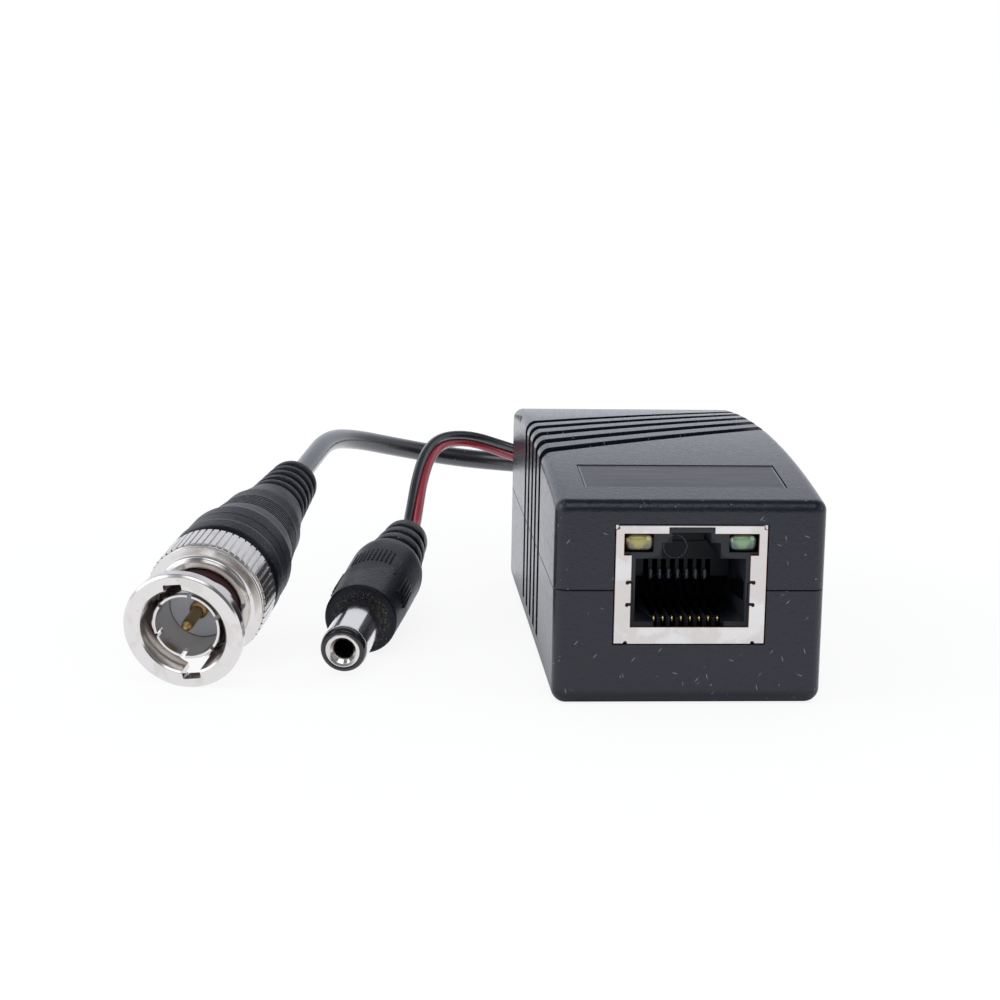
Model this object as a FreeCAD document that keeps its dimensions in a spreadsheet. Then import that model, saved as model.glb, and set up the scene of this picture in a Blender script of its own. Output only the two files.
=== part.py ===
"""Video balun: a small snap-together housing with an eight-way network jack at the front, and two
short leads out of its back, one with a bayonet video plug and one with a barrel power plug.

Millimetres. The housing stands on Z = 0 and is centred on the Z axis, with the jack towards -Y.
"""
import FreeCAD, Part
import Sketcher
import math
import os

Vector = FreeCAD.Vector
doc = FreeCAD.newDocument("video_balun")

# The driving sizes. Lengths are in millimetres, angles in degrees.
SIZES = [
    # Housing shells
    ("body_width", 30.0), ("body_length", 63.0), ("parting_height", 13.0),
    ("front_height", 22.85), ("rear_height", 23.7), ("crown_radius", 245.0),
    ("wall", 2.0), ("floor", 2.0), ("upright_radius", 1.5), ("top_radius", 1.3),
    ("foot_radius", 1.65), ("seam_height", 0.14), ("seam_depth", 0.16), ("lip_height", 1.2),
    ("lip_wall", 0.9),
    ("shell_gap", 0.1), ("hook_width", 4.0), ("hook_length", 3.0), ("hook_barb", 0.7),
    # Grip grooves that slant across the lid and run down both sides
    ("groove_width", 2.4), ("groove_pitch", 4.9), ("groove_depth", 0.5), ("groove_lead", 27.6),
    ("groove_slope", 0.543), ("groove_foot", 2.6),
    # Label and its recess
    ("label_width", 22.5), ("label_length", 8.8), ("label_back", 5.3), ("label_recess", 0.35),
    ("label_sheet", 0.25), ("label_gap", 0.12),
    # Circuit board and what stands on it
    ("board_side_gap", 0.7), ("board_length", 51.0), ("board_sheet", 1.6), ("board_front", 2.8),
    ("post_radius", 2.2), ("peg_radius", 1.0), ("post_inset", 3.2), ("peg_gap", 0.1),
    ("transformer_back", 26.0), ("base_width", 9.6), ("base_height", 1.4), ("core_radius", 4.4),
    ("core_bore", 2.2), ("core_height", 3.4), ("winding_wire", 0.5), ("part_gap", 0.6),
    ("part_inset", 5.1),
    ("suppressor_back", 30.0), ("suppressor_width", 3.6), ("suppressor_length", 2.6),
    ("suppressor_height", 2.2), ("filter_back", 38.0), ("fuse_radius", 2.8), ("fuse_thick", 2.0),
    ("capacitor_radius", 2.2), ("capacitor_thick", 1.8), ("leg_wire", 0.5), ("leg_height", 1.2),
    # Network jack
    ("jack_width", 16.72), ("jack_height", 13.27), ("jack_depth", 18.3), ("jack_floor", 7.0),
    ("jack_sheet", 0.25), ("jack_cutout_gap", 0.12), ("jack_body_depth", 16.4),
    ("jack_body_gap", 0.05), ("jack_peg_radius", 1.5), ("jack_peg_inset", 2.6), ("jack_peg_back", 9.0),
    ("jack_peg_reach", 0.8), ("mouth_margin", 1.8), ("ledge_margin", 0.95), ("mouth_low", 1.9),
    ("mouth_ledge", 9.95), ("notch_width", 5.0), ("upper_slit", 6.93), ("lower_slit", 4.43),
    ("slit_height", 0.26), ("slit_reach", 0.45),
    ("cavity_width", 12.2), ("cavity_height", 7.1), ("cavity_floor", 2.42), ("cavity_depth", 12.6),
    ("step_width", 6.5), ("step_height", 1.75), ("latch_width", 4.3), ("latch_height", 1.15),
    ("contact_pitch", 1.02), ("contact_wide", 0.45), ("contact_thick", 0.3), ("contact_front", 2.8),
    ("contact_trench", 1.15), ("contact_rise", 3.9), ("contact_reach", 1.6), ("contact_play", 0.6),
    ("tail_margin", 1.5), ("tail_stagger", 2.2), ("tail_play", 0.4), ("tail_reach", 0.6),
    ("comb_front", 10.3), ("comb_slot", 0.6), ("comb_rise", 2.9), ("comb_back", 1.2), ("comb_play", 0.1),
    ("led_width", 3.1), ("led_height", 1.95), ("led_centre", 5.78), ("led_rise", 11.25),
    ("led_length", 8.0), ("led_gap", 0.05), ("led_lead", 0.45), ("led_recess", 0.35),
    ("led_rounding", 0.6), ("led_pitch", 1.27), ("led_bend", 0.75),
    # Video plug: coupling nut, measured back from its front rim
    ("rim_radius", 6.93), ("rim_length", 1.56), ("rim_edge", 0.28), ("neck_radius", 5.55),
    ("window_back", 6.57), ("ramp_low", 1.95), ("ramp_high", 4.1), ("ramp_seat", 0.6),
    ("window_lead", 9.5), ("window_sweep", 100.0), ("cove_radius", 1.5), ("shoulder_radius", 6.9),
    ("shoulder_back", 7.9), ("band_radius", 7.05), ("band_front", 8.6), ("nut_length", 13.1),
    ("nut_bore", 4.95), ("nut_lip_bore", 4.45), ("nut_lip_front", 9.8), ("nut_lip_back", 11.2),
    ("nut_rear_bore", 5.3), ("run_gap", 0.07), ("entry_width", 2.15), ("entry_radius", 5.75),
    ("nut_roll", -7.5), ("core_roll", -20.0),
    # Video plug: inner parts
    ("tip_back", 1.4), ("contact_radius", 4.05), ("contact_bore", 3.6), ("contact_slot", 0.5),
    ("contact_slot_length", 4.9), ("flange_front", 7.0), ("flange_back", 7.9), ("stem_bore", 1.9),
    ("stem_back", 17.5), ("stem_radius", 4.0), ("insulator_front", 6.5), ("insulator_back", 9.1),
    ("pin_tip", 1.1), ("pin_radius", 0.675), ("pin_step", 5.5), ("pin_base_radius", 1.05),
    ("pin_back", 10.9), ("gasket_front", 5.7), ("washer_sheet", 0.25), ("ring_thick", 0.9),
    ("ring_gap", 0.1),
    # Video plug: moulded boot
    ("boot_gap", 0.15), ("boot_radius", 7.1), ("boot_length", 31.25), ("boot_end_radius", 3.44),
    ("boot_tail_radius", 4.5), ("boot_ring_depth", 0.5),
    # Video plug: where it lies
    ("bnc_nose_x", -55.825), ("bnc_nose_y", -25.32), ("bnc_heading", 14.8), ("bnc_tilt", 11.5),
    # Power plug, measured back from the face of its black nose
    ("barrel_radius", 2.75), ("barrel_wall", 0.3), ("barrel_length", 10.3), ("barrel_root", 3.6),
    ("root_step", 0.3), ("nose_length", 1.05), ("nose_step", 0.1), ("sleeve_bore", 1.05),
    ("sleeve_radius", 1.35), ("flare_radius", 1.98), ("handle_radius", 4.35), ("handle_edge", 0.3),
    ("handle_swell", 0.2), ("handle_length", 19.9), ("handle_tail_radius", 3.6), ("tail_length", 9.95),
    ("tail_end_radius", 3.0), ("tail_ring_depth", 0.4),
    ("dc_nose_x", -38.05), ("dc_nose_y", -19.65), ("dc_heading", 12.0), ("dc_tilt", 7.0),
    # Leads
    ("coax_radius", 1.35), ("wire_radius", 0.62), ("lead_hole_gap", 0.12), ("coax_exit_x", 2.4),
    ("pair_exit_x", -3.5), ("pair_spread", 0.65), ("coax_straight", 9.5), ("wire_straight", 3.5),
    ("tie_back", 7.0), ("tie_band", 0.8), ("tie_width", 1.8), ("tie_head", 2.8), ("tie_head_rise", 2.6),
    ("tie_head_length", 2.4), ("saddle_width", 4.0), ("saddle_length", 3.5),
]
LID_GROOVES = 5
CONTACTS = 8
TRANSFORMER_TURNS = 12

sheet = doc.addObject("Spreadsheet::Sheet", "sizes")
for row, (alias, number) in enumerate(SIZES, start=1):
    sheet.set(f"A{row}", alias)
    sheet.set(f"B{row}", str(number))
    sheet.setAlias(f"B{row}", alias)
doc.recompute()


class Size:
    """A length that knows both its value and the sheet expression it comes from."""

    def __init__(self, value, text):
        self.value = value
        self.text = text

    def __add__(self, other):
        other = as_size(other)
        return Size(self.value + other.value, f"({self.text} + {other.text})")

    def __sub__(self, other):
        other = as_size(other)
        return Size(self.value - other.value, f"({self.text} - {other.text})")

    def __mul__(self, factor):
        factor = as_size(factor)
        return Size(self.value * factor.value, f"({self.text} * {factor.text})")

    def __truediv__(self, divisor):
        divisor = as_size(divisor)
        return Size(self.value / divisor.value, f"({self.text} / {divisor.text})")

    def __radd__(self, other):
        return as_size(other) + self

    def __rsub__(self, other):
        return as_size(other) - self

    def __rmul__(self, other):
        return as_size(other) * self

    def __neg__(self):
        return as_size(0) - self


def as_size(number):
    if isinstance(number, Size):
        return number
    return Size(float(number), f"{float(number):.6f}")


class SheetSizes:
    """Reads a named cell of the sheet as a Size."""

    def __getattr__(self, name):
        return Size(float(sheet.get(name)), "sizes." + name)


size = SheetSizes()
half_width = size.body_width / 2
half_length = size.body_length / 2
jack_left = size.jack_width / 2
jack_top = size.jack_floor + size.jack_height
board_top = size.jack_floor
board_base = board_top - size.board_sheet
board_width = size.body_width - 2 * (size.wall + size.board_side_gap)


def bind(item, **sizes):
    """Sets properties of a feature from sizes and ties each to its expression."""
    for name, amount in sizes.items():
        amount = as_size(amount)
        setattr(item, name, amount.value)
        item.setExpression(name, amount.text)


def new_body(label, placement=None):
    body = doc.addObject("PartDesign::Body", label)
    body.Label = label
    if placement is not None:
        body.Placement = placement
    return body


def new_sketch(body, role, name, offset=None):
    """A sketch on one of the body's own origin planes, moved along the plane's normal."""
    sketch = body.newObject("Sketcher::SketchObject", name)
    plane = [item for item in body.Origin.OriginFeatures if item.Role == role][0]
    sketch.AttachmentSupport = [(plane, "")]
    sketch.MapMode = "FlatFace"
    if offset is not None:
        offset = as_size(offset)
        sketch.AttachmentOffset = FreeCAD.Placement(Vector(0, 0, offset.value), FreeCAD.Rotation())
        sketch.setExpression("AttachmentOffset.Base.z", offset.text)
    return sketch


def hold(sketch, kind, amount, *target):
    """Adds a dimension to a sketch and ties it to its expression."""
    index = sketch.addConstraint(Sketcher.Constraint(kind, *target, amount.value))
    sketch.setExpression(f"Constraints[{index}]", amount.text)


def place_point(sketch, line, end, across, up):
    across = as_size(across)
    up = as_size(up)
    for kind, amount, axis in (("DistanceX", across, -2), ("DistanceY", up, -1)):
        if abs(amount.value) < 1e-9:
            sketch.addConstraint(Sketcher.Constraint("PointOnObject", line, end, axis))
        else:
            hold(sketch, kind, amount, -1, 1, line, end)


def draw_outline(sketch, corners, arcs=None):
    """A closed outline. arcs gives, for the side that starts at a corner, a radius and the side
    it bulges to: 1 to the left of its run, -1 to the right."""
    arcs = arcs or {}
    points = [Vector(as_size(x).value, as_size(y).value, 0) for x, y in corners]
    first = sketch.GeometryCount
    for number, point in enumerate(points):
        following = points[(number + 1) % len(points)]
        if number in arcs:
            radius, side = arcs[number]
            run = following - point
            left = Vector(-run.y, run.x, 0).normalize()
            sagitta = radius.value - math.sqrt(radius.value ** 2 - run.Length ** 2 / 4)
            middle = (point + following) / 2 + left * sagitta * side
            sketch.addGeometry(Part.Arc(point, middle, following))
        else:
            sketch.addGeometry(Part.LineSegment(point, following))

    def end_at(number, at_start):
        """Which end of a side lies at a corner: arcs always run anticlockwise."""
        if number in arcs and arcs[number][1] == 1:
            return 2 if at_start else 1
        return 1 if at_start else 2

    count = len(points)
    for number in range(count):
        following = (number + 1) % count
        sketch.addConstraint(Sketcher.Constraint(
            "Coincident", first + number, end_at(number, False),
            first + following, end_at(following, True)))
    for number, (across, up) in enumerate(corners):
        place_point(sketch, first + number, end_at(number, True), across, up)
    for number, (radius, side) in arcs.items():
        hold(sketch, "Radius", radius, first + number)


def draw_circle(sketch, across, up, radius):
    across = as_size(across)
    up = as_size(up)
    radius = as_size(radius)
    centre = Vector(across.value, up.value, 0)
    line = sketch.addGeometry(Part.Circle(centre, Vector(0, 0, 1), radius.value))
    place_point(sketch, line, 3, across, up)
    hold(sketch, "Radius", radius, line)


def rectangle(left, low, right, high):
    return [(left, low), (right, low), (right, high), (left, high)]


def pad(body, sketch, length, name, backwards=False, both_ways=False):
    feature = body.newObject("PartDesign::Pad", name)
    feature.Profile = sketch
    if both_ways:
        feature.SideType = "Symmetric"
    feature.Reversed = backwards
    bind(feature, Length=length)
    return feature


def pocket(body, sketch, depth, name, backwards=False, both_ways=False):
    """Cuts away, and stops the build if nothing was cut."""
    doc.recompute()
    before = body.Shape.Volume
    feature = body.newObject("PartDesign::Pocket", name)
    feature.Profile = sketch
    if both_ways:
        feature.SideType = "Symmetric"
    feature.Reversed = backwards
    bind(feature, Length=depth)
    doc.recompute()
    if body.Shape.Volume > before - 1e-6:
        raise RuntimeError(f"{name} cuts nothing")
    return feature


def cut_outline(body, role, name, corners, depth, offset=None, backwards=False, both_ways=False):
    sketch = new_sketch(body, role, name + "_outline", offset)
    draw_outline(sketch, corners)
    return pocket(body, sketch, depth, name, backwards, both_ways)


def pad_outline(body, role, name, corners, length, offset=None, backwards=False, both_ways=False):
    sketch = new_sketch(body, role, name + "_outline", offset)
    draw_outline(sketch, corners)
    return pad(body, sketch, length, name, backwards, both_ways)


def pattern_round(body, feature, name, count, sweep):
    """Repeats a feature about the body's own Z axis."""
    doc.recompute()
    pattern = body.newObject("PartDesign::PolarPattern", name)
    pattern.Originals = [feature]
    pattern.Axis = ([item for item in body.Origin.OriginFeatures if item.Role == "Z_Axis"][0], [""])
    pattern.Angle = sweep
    pattern.Occurrences = count
    body.Tip = pattern
    doc.recompute()
    return pattern


def turn(label, corners, placement=None, arcs=None):
    """A piece turned about its own Z axis: corners are radius and place along the axis."""
    body = new_body(label, placement)
    sketch = new_sketch(body, "XZ_Plane", label + "_section")
    draw_outline(sketch, corners, arcs)
    feature = body.newObject("PartDesign::Revolution", label + "_turn")
    feature.Profile = sketch
    feature.ReferenceAxis = (sketch, ["V_Axis"])
    feature.Angle = 360.0
    doc.recompute()
    return body


def round_edges(body, feature, name, radius, chosen):
    """Rounds the edges of a feature that the chosen test picks."""
    doc.recompute()
    names = [f"Edge{number}" for number, edge in enumerate(feature.Shape.Edges, start=1) if chosen(edge)]
    fillet = body.newObject("PartDesign::Fillet", name)
    fillet.Base = (feature, names)
    bind(fillet, Radius=radius)
    doc.recompute()
    return fillet


def is_upright(edge):
    box = edge.BoundBox
    return box.XLength < 1e-6 and box.YLength < 1e-6 and box.ZLength > 1


def cut_away(label, base, tools):
    """A doc-level cut of several tools from one base."""
    tool = tools[0]
    if len(tools) > 1:
        tool = doc.addObject("Part::MultiFuse", label + "_tools")
        tool.Shapes = tools
    result = doc.addObject("Part::Cut", label)
    result.Base = base
    result.Tool = tool
    result.Label = label
    doc.recompute()
    return result


hook_place = size.body_length / 5


def upright_box(side, near, far, place, wide):
    """The plan of a small block on the left (-1) or right (1) wall."""
    if side > 0:
        return rectangle(near, place - wide / 2, far, place + wide / 2)
    return rectangle(-far, place - wide / 2, -near, place + wide / 2)


# Housing forms: the lid is arched along its length, the tray is a plain box, and the grooves and
# the label recess are cut down to a second form that lies a little inside the first.
def lid_form(name, inset, base):
    """The lid's outer form, moved inwards by an inset, from a base height up."""
    body = new_body(name)
    sketch = new_sketch(body, "YZ_Plane", name + "_side")
    front = inset - half_length
    rear = half_length - inset
    corners = [(front, base), (rear, base), (rear, size.rear_height - inset),
               (front, size.front_height - inset)]
    draw_outline(sketch, corners, {2: (size.crown_radius - inset, -1)})
    block = pad(body, sketch, size.body_width - 2 * inset, name + "_block", both_ways=True)
    uprights = round_edges(body, block, name + "_uprights", size.upright_radius - inset, is_upright)

    def is_top(edge):
        return edge.BoundBox.ZMin > size.front_height.value - inset.value - 1 and not is_upright(edge)

    round_edges(body, uprights, name + "_brow", size.top_radius - inset, is_top)
    return body


def tray_form(name, inset, base):
    """The tray's outer form, moved inwards by an inset."""
    body = new_body(name)
    corners = rectangle(inset - half_width, inset - half_length, half_width - inset, half_length - inset)
    sketch = new_sketch(body, "XY_Plane", name + "_plan", base)
    draw_outline(sketch, corners)
    block = pad(body, sketch, size.parting_height - base, name + "_block")
    uprights = round_edges(body, block, name + "_uprights", size.upright_radius - inset, is_upright)

    def is_foot(edge):
        return edge.BoundBox.ZMax < base.value + 1e-3

    round_edges(body, uprights, name + "_foot", size.foot_radius - inset, is_foot)
    return body


def groove_bands(name, low, high):
    """Slanted upright bands, one for each groove, as tall as they need to be."""
    body = new_body(name)
    reach = half_width + 1
    for number in range(LID_GROOVES):
        middle = size.groove_lead - half_length + size.groove_pitch * number
        left = middle - size.groove_slope * reach
        right = middle + size.groove_slope * reach
        corners = [(-reach, left), (reach, right),
                   (reach, right + size.groove_width), (-reach, left + size.groove_width)]
        pad_outline(body, "XY_Plane", f"{name}_{number + 1}", corners, high - low, low)
    doc.recompute()
    return body


def grooves_in(label, core, low, high):
    """What the grooves take away: the bands outside the inner form."""
    bands = groove_bands(label + "_bands", low, high)
    return cut_away(label, bands, [core])


def seam_ring():
    """The fine groove that is left all round where the two shells meet."""
    around = new_body("seam_core")
    side = half_width - size.seam_depth
    end = half_length - size.seam_depth
    middle = size.parting_height
    block = pad_outline(around, "XY_Plane", "seam_core_block", rectangle(-side, -end, side, end), as_size(2),
                        middle - 1)
    round_edges(around, block, "seam_core_uprights", size.upright_radius - size.seam_depth, is_upright)
    slab = new_body("seam_slab")
    side = half_width + 1
    end = half_length + 1
    pad_outline(slab, "XY_Plane", "seam_slab_block", rectangle(-side, -end, side, end), size.seam_height,
                middle - size.seam_height / 2)
    doc.recompute()
    return cut_away("seam_ring", slab, [around])


# Lid: arched shell with a tongue that drops inside the tray, four hooks and a jack opening.
def make_lid():
    crown = size.front_height + 5
    shell = lid_form("lid_form", as_size(0), size.parting_height)
    inside = size.wall
    front = inside - half_length
    rear = half_length - inside
    hollow = new_sketch(shell, "YZ_Plane", "lid_hollow_side")
    below = size.parting_height - 1
    draw_outline(hollow, [(front, below), (rear, below), (rear, size.rear_height - inside),
                          (front, size.front_height - inside)], {2: (size.crown_radius - inside, -1)})
    pocket(shell, hollow, size.body_width - 2 * size.wall, "lid_hollow", both_ways=True)

    tongue_low = size.parting_height - size.lip_height
    tongue_side = half_width - size.wall + size.lip_wall - size.shell_gap
    tongue_end = half_length - size.wall + size.lip_wall - size.shell_gap
    inner_side = half_width - size.wall
    inner_end = half_length - size.wall
    tongue = new_sketch(shell, "XY_Plane", "lid_tongue_plan", tongue_low)
    draw_outline(tongue, rectangle(-tongue_side, -tongue_end, tongue_side, tongue_end))
    draw_outline(tongue, rectangle(-inner_side, -inner_end, inner_side, inner_end))
    pad(shell, tongue, size.lip_height + size.shell_gap, "lid_tongue")
    doc.recompute()
    gap = size.jack_cutout_gap
    cut_outline(shell, "XZ_Plane", "lid_jack_opening",
                rectangle(-(jack_left + gap), tongue_low - 1, jack_left + gap, jack_top + gap),
                size.wall + 2, half_length + 1, backwards=False)
    for side, x_name in ((-1, "left"), (1, "right")):
        for place, y_name in ((-hook_place, "front"), (hook_place, "rear")):
            name = f"lid_hook_{x_name}_{y_name}"
            arm = upright_box(side, inner_side - 1, inner_side - size.shell_gap, place, size.hook_width)
            pad_outline(shell, "XY_Plane", name + "_arm", arm, size.hook_length + 0.1,
                        tongue_low - size.hook_length)
            root = upright_box(side, inner_side - 1, inner_side + 0.4, place, size.hook_width)
            pad_outline(shell, "XY_Plane", name + "_root", root, size.lip_height + 0.8, tongue_low)
            barb = upright_box(side, inner_side - 0.5, inner_side + size.hook_barb, place, size.hook_width)
            pad_outline(shell, "XY_Plane", name + "_barb", barb, 1.0, tongue_low - size.hook_length)
    doc.recompute()

    core = lid_form("lid_core", size.groove_depth, size.parting_height - 6)
    grooves = grooves_in("lid_grooves", core, tongue_low - 1, crown + 2)
    recess_core = lid_form("lid_recess_core", size.label_recess, size.parting_height)
    place = size.label_back - half_length
    edge = size.label_width / 2 + size.label_gap
    block = new_body("label_place")
    pad_outline(block, "XY_Plane", "label_place_block",
                rectangle(-edge, place - size.label_gap, edge, place + size.label_length + size.label_gap),
                size.wall + 4, size.front_height - 2)
    recess = cut_away("label_recess", block, [recess_core])
    holes = lead_holes("lid_lead_holes")
    return cut_away("housing_lid", shell, [grooves, recess, holes, seam_ring()])


def lead_holes(name):
    """Holes at the back, half in each shell: round for the coax, oblong for the pair."""
    body = new_body(name)
    offset = -(half_length - size.wall - 1)
    coax = new_sketch(body, "XZ_Plane", name + "_coax", offset)
    draw_circle(coax, size.coax_exit_x, size.parting_height, size.coax_radius + size.lead_hole_gap)
    pad(body, coax, size.wall + 2, name + "_coax_hole", backwards=True)
    pair = new_sketch(body, "XZ_Plane", name + "_pair", offset)
    side = size.wire_radius + size.lead_hole_gap
    tall = size.pair_spread + side
    draw_outline(pair, rectangle(size.pair_exit_x - side, size.parting_height - tall,
                                 size.pair_exit_x + side, size.parting_height + tall))
    pad(body, pair, size.wall + 2, name + "_pair_hole", backwards=True)
    doc.recompute()
    return body


# Tray: the lower shell, with four posts for the board, two saddles for the leads and a rebate.
def make_tray():
    shell = tray_form("tray_form", as_size(0), as_size(0))
    inner_side = half_width - size.wall
    inner_end = half_length - size.wall
    cut_outline(shell, "XY_Plane", "tray_hollow", rectangle(-inner_side, -inner_end, inner_side, inner_end),
                size.parting_height, size.floor, backwards=True)
    rebate_side = inner_side + size.lip_wall
    rebate_end = inner_end + size.lip_wall
    cut_outline(shell, "XY_Plane", "tray_rebate",
                rectangle(-rebate_side, -rebate_end, rebate_side, rebate_end),
                size.lip_height + 1, size.parting_height - size.lip_height - size.shell_gap, backwards=True)
    gap = size.jack_cutout_gap
    cut_outline(shell, "XZ_Plane", "tray_jack_opening",
                rectangle(-(jack_left + gap), size.jack_floor - gap,
                          jack_left + gap, size.parting_height + 1),
                size.wall + 2, half_length + 1)
    catch_low = size.parting_height - size.lip_height - size.hook_length - size.shell_gap
    for side, x_name in ((-1, "left"), (1, "right")):
        for place, y_name in ((-hook_place, "front"), (hook_place, "rear")):
            window = upright_box(side, inner_side - 0.5, inner_side + size.hook_barb + size.shell_gap, place,
                                 size.hook_width + 0.4)
            cut_outline(shell, "XY_Plane", f"tray_catch_{x_name}_{y_name}", window,
                        1.0 + 2 * size.shell_gap, catch_low, backwards=True)
    for across, x_name in ((-1, "left"), (1, "right")):
        for along, y_name in ((-1, "front"), (1, "rear")):
            x, y = post_place(across, along)
            name = f"post_{x_name}_{y_name}"
            post = new_sketch(shell, "XY_Plane", name + "_plan", size.floor - 0.5)
            draw_circle(post, x, y, size.post_radius)
            pad(shell, post, board_base - size.floor + 0.5, name)
            peg = new_sketch(shell, "XY_Plane", name + "_peg_plan", board_base - 0.5)
            draw_circle(peg, x, y, size.peg_radius)
            pad(shell, peg, size.board_sheet + 1.1, name + "_peg")
    saddle_back = inner_end + 0.5
    saddle_low = size.floor - 0.5
    for x, radius, name in ((size.coax_exit_x, size.coax_radius, "coax"),
                            (size.pair_exit_x, size.pair_spread + size.wire_radius, "pair")):
        top = size.parting_height - radius
        half = size.saddle_width / 2
        corners = rectangle(x - half, saddle_low, x + half, top)
        pad_outline(shell, "XZ_Plane", f"saddle_{name}", corners, size.saddle_length,
                    -(saddle_back - size.saddle_length), backwards=True)
    doc.recompute()
    core = tray_form("tray_core", size.groove_depth, as_size(-2))
    grooves = grooves_in("tray_grooves", core, size.groove_foot, size.parting_height + 2)
    holes = lead_holes("tray_lead_holes")
    return cut_away("housing_tray", shell, [grooves, holes, doc.getObject("seam_ring")])


def post_place(across, along):
    """Centre of one board post, measured in from the board's corners."""
    x = (board_width / 2 - size.post_inset) * across
    front = size.board_front - half_length
    if along < 0:
        return x, front + size.post_inset + size.jack_depth
    return x, front + size.board_length - size.post_inset


# Label: a thin bare plate that follows the lid's arch in its recess.
def make_label():
    recess_core = lid_form("label_core", size.label_recess, size.parting_height)
    skin = lid_form("label_skin", size.label_recess - size.label_sheet, size.parting_height)
    place = size.label_back - half_length
    block = new_body("label_block")
    pad_outline(block, "XY_Plane", "label_blank",
                rectangle(-size.label_width / 2, place, size.label_width / 2, place + size.label_length),
                size.wall + 4, size.front_height - 2)
    doc.recompute()
    above = doc.addObject("Part::Common", "label_bent")
    above.Base = block
    above.Tool = skin
    return cut_away("label_plate", above, [recess_core])


# Circuit board with holes for the posts, the jack's pegs and the solder tails.
def make_board():
    body = new_body("circuit_board")
    front = size.board_front - half_length
    pad_outline(body, "XY_Plane", "board_blank",
                rectangle(-board_width / 2, front, board_width / 2, front + size.board_length),
                size.board_sheet, board_base)
    holes = new_sketch(body, "XY_Plane", "board_holes_plan", board_base - 1)
    for across in (-1, 1):
        for along in (-1, 1):
            x, y = post_place(across, along)
            draw_circle(holes, x, y, size.peg_radius + size.peg_gap)
        draw_circle(holes, jack_peg_x * across, jack_peg_y, size.jack_peg_radius + size.peg_gap)
    for number in range(CONTACTS):
        draw_circle(holes, contact_x(number), tail_y(number), size.contact_wide)
    pocket(body, holes, size.board_sheet + 2, "board_holes", backwards=True)
    return body


jack_front = -half_length
jack_peg_x = size.jack_width / 2 - size.jack_peg_inset
jack_peg_y = jack_front + size.jack_peg_back


def contact_x(number):
    return size.contact_pitch * (number - (CONTACTS - 1) / 2)


def tail_y(number):
    """Solder tails stand in two staggered rows."""
    return jack_front + size.jack_body_depth - size.tail_margin - size.tail_stagger * (number % 2)


# Jack: a folded metal shield around a moulded body, a comb that spaces eight springs, two lamps.
def make_jack_shield():
    body = new_body("jack_shield")
    pad_outline(body, "XZ_Plane", "shield_block",
                rectangle(-jack_left, size.jack_floor, jack_left, jack_top), size.jack_depth, half_length,
                backwards=True)
    t = size.jack_sheet
    cut_outline(body, "XZ_Plane", "shield_hollow",
                rectangle(t - jack_left, size.jack_floor - 1, jack_left - t, jack_top - t),
                size.jack_depth - 2 * t, half_length - t)
    wide = jack_left - size.ledge_margin
    narrow = jack_left - size.mouth_margin
    bottom = size.jack_floor + size.mouth_low
    ledge = size.jack_floor + size.mouth_ledge
    top = jack_top - size.ledge_margin
    notch = size.notch_width / 2
    corners = [(-narrow, bottom), (narrow, bottom), (narrow, ledge), (wide, ledge), (wide, top),
               (notch, top), (notch, jack_top - t), (-notch, jack_top - t),
               (-notch, top), (-wide, top), (-wide, ledge), (-narrow, ledge)]
    cut_outline(body, "XZ_Plane", "shield_window", corners, t + 2, half_length + 1)
    side = narrow + size.slit_reach
    for height, name in ((size.upper_slit, "upper"), (size.lower_slit, "lower")):
        low = size.jack_floor + height - size.slit_height / 2
        cut_outline(body, "XZ_Plane", f"shield_slit_{name}",
                    rectangle(-side, low, side, low + size.slit_height), t + 2, half_length + 1)
    return body


def make_jack_body():
    body = new_body("jack_body")
    gap = size.jack_body_gap
    t = size.jack_sheet
    side = jack_left - t - gap
    low = size.jack_floor
    top = jack_top - t - gap
    back = half_length - t - gap
    pad_outline(body, "XZ_Plane", "jack_block", rectangle(-side, low, side, top),
                size.jack_body_depth, back, backwards=True)
    peg_low = board_base - size.jack_peg_reach
    pegs = new_sketch(body, "XY_Plane", "jack_pegs_plan", peg_low)
    for across in (-1, 1):
        draw_circle(pegs, jack_peg_x * across, jack_peg_y, size.jack_peg_radius)
    pad(body, pegs, low + 0.5 - peg_low, "jack_pegs")
    floor = low + size.cavity_floor
    roof = floor + size.cavity_height
    step = roof + size.step_height
    latch = step + size.latch_height
    a = size.cavity_width / 2
    b = size.step_width / 2
    c = size.latch_width / 2
    corners = [(-a, floor), (a, floor), (a, roof), (b, roof), (b, step), (c, step), (c, latch),
               (-c, latch), (-c, step), (-b, step), (-b, roof), (-a, roof)]
    cut_outline(body, "XZ_Plane", "jack_cavity", corners, size.cavity_depth + 1, back + 1)
    for across, name in ((-1, "left"), (1, "right")):
        centre = size.led_centre * across
        wide = size.led_width / 2 + size.led_gap
        z = size.jack_floor + size.led_rise
        tall = size.led_height / 2 + size.led_gap
        cut_outline(body, "XZ_Plane", f"jack_lamp_{name}",
                    rectangle(centre - wide, z - tall, centre + wide, z + tall),
                    size.jack_body_depth + 2, back + 1)
    doc.recompute()
    slots = new_sketch(body, "XY_Plane", "jack_contact_slots_plan", floor - size.contact_trench)
    width = size.comb_slot / 2
    for number in range(CONTACTS):
        x = contact_x(number)
        draw_outline(slots, rectangle(x - width, jack_front + size.contact_front - size.contact_play,
                                      x + width, tail_y(number) + size.tail_play))
    pocket(body, slots, size.contact_trench + 0.25, "jack_contact_slots", backwards=True)
    tails = new_sketch(body, "XY_Plane", "jack_tail_holes_plan", low - 1)
    for number in range(CONTACTS):
        x = contact_x(number)
        draw_outline(tails, rectangle(x - width, tail_y(number) - size.tail_play,
                                      x + width, tail_y(number) + size.tail_play))
    pocket(body, tails, size.cavity_floor + 1, "jack_tail_holes", backwards=True)
    return body


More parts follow.
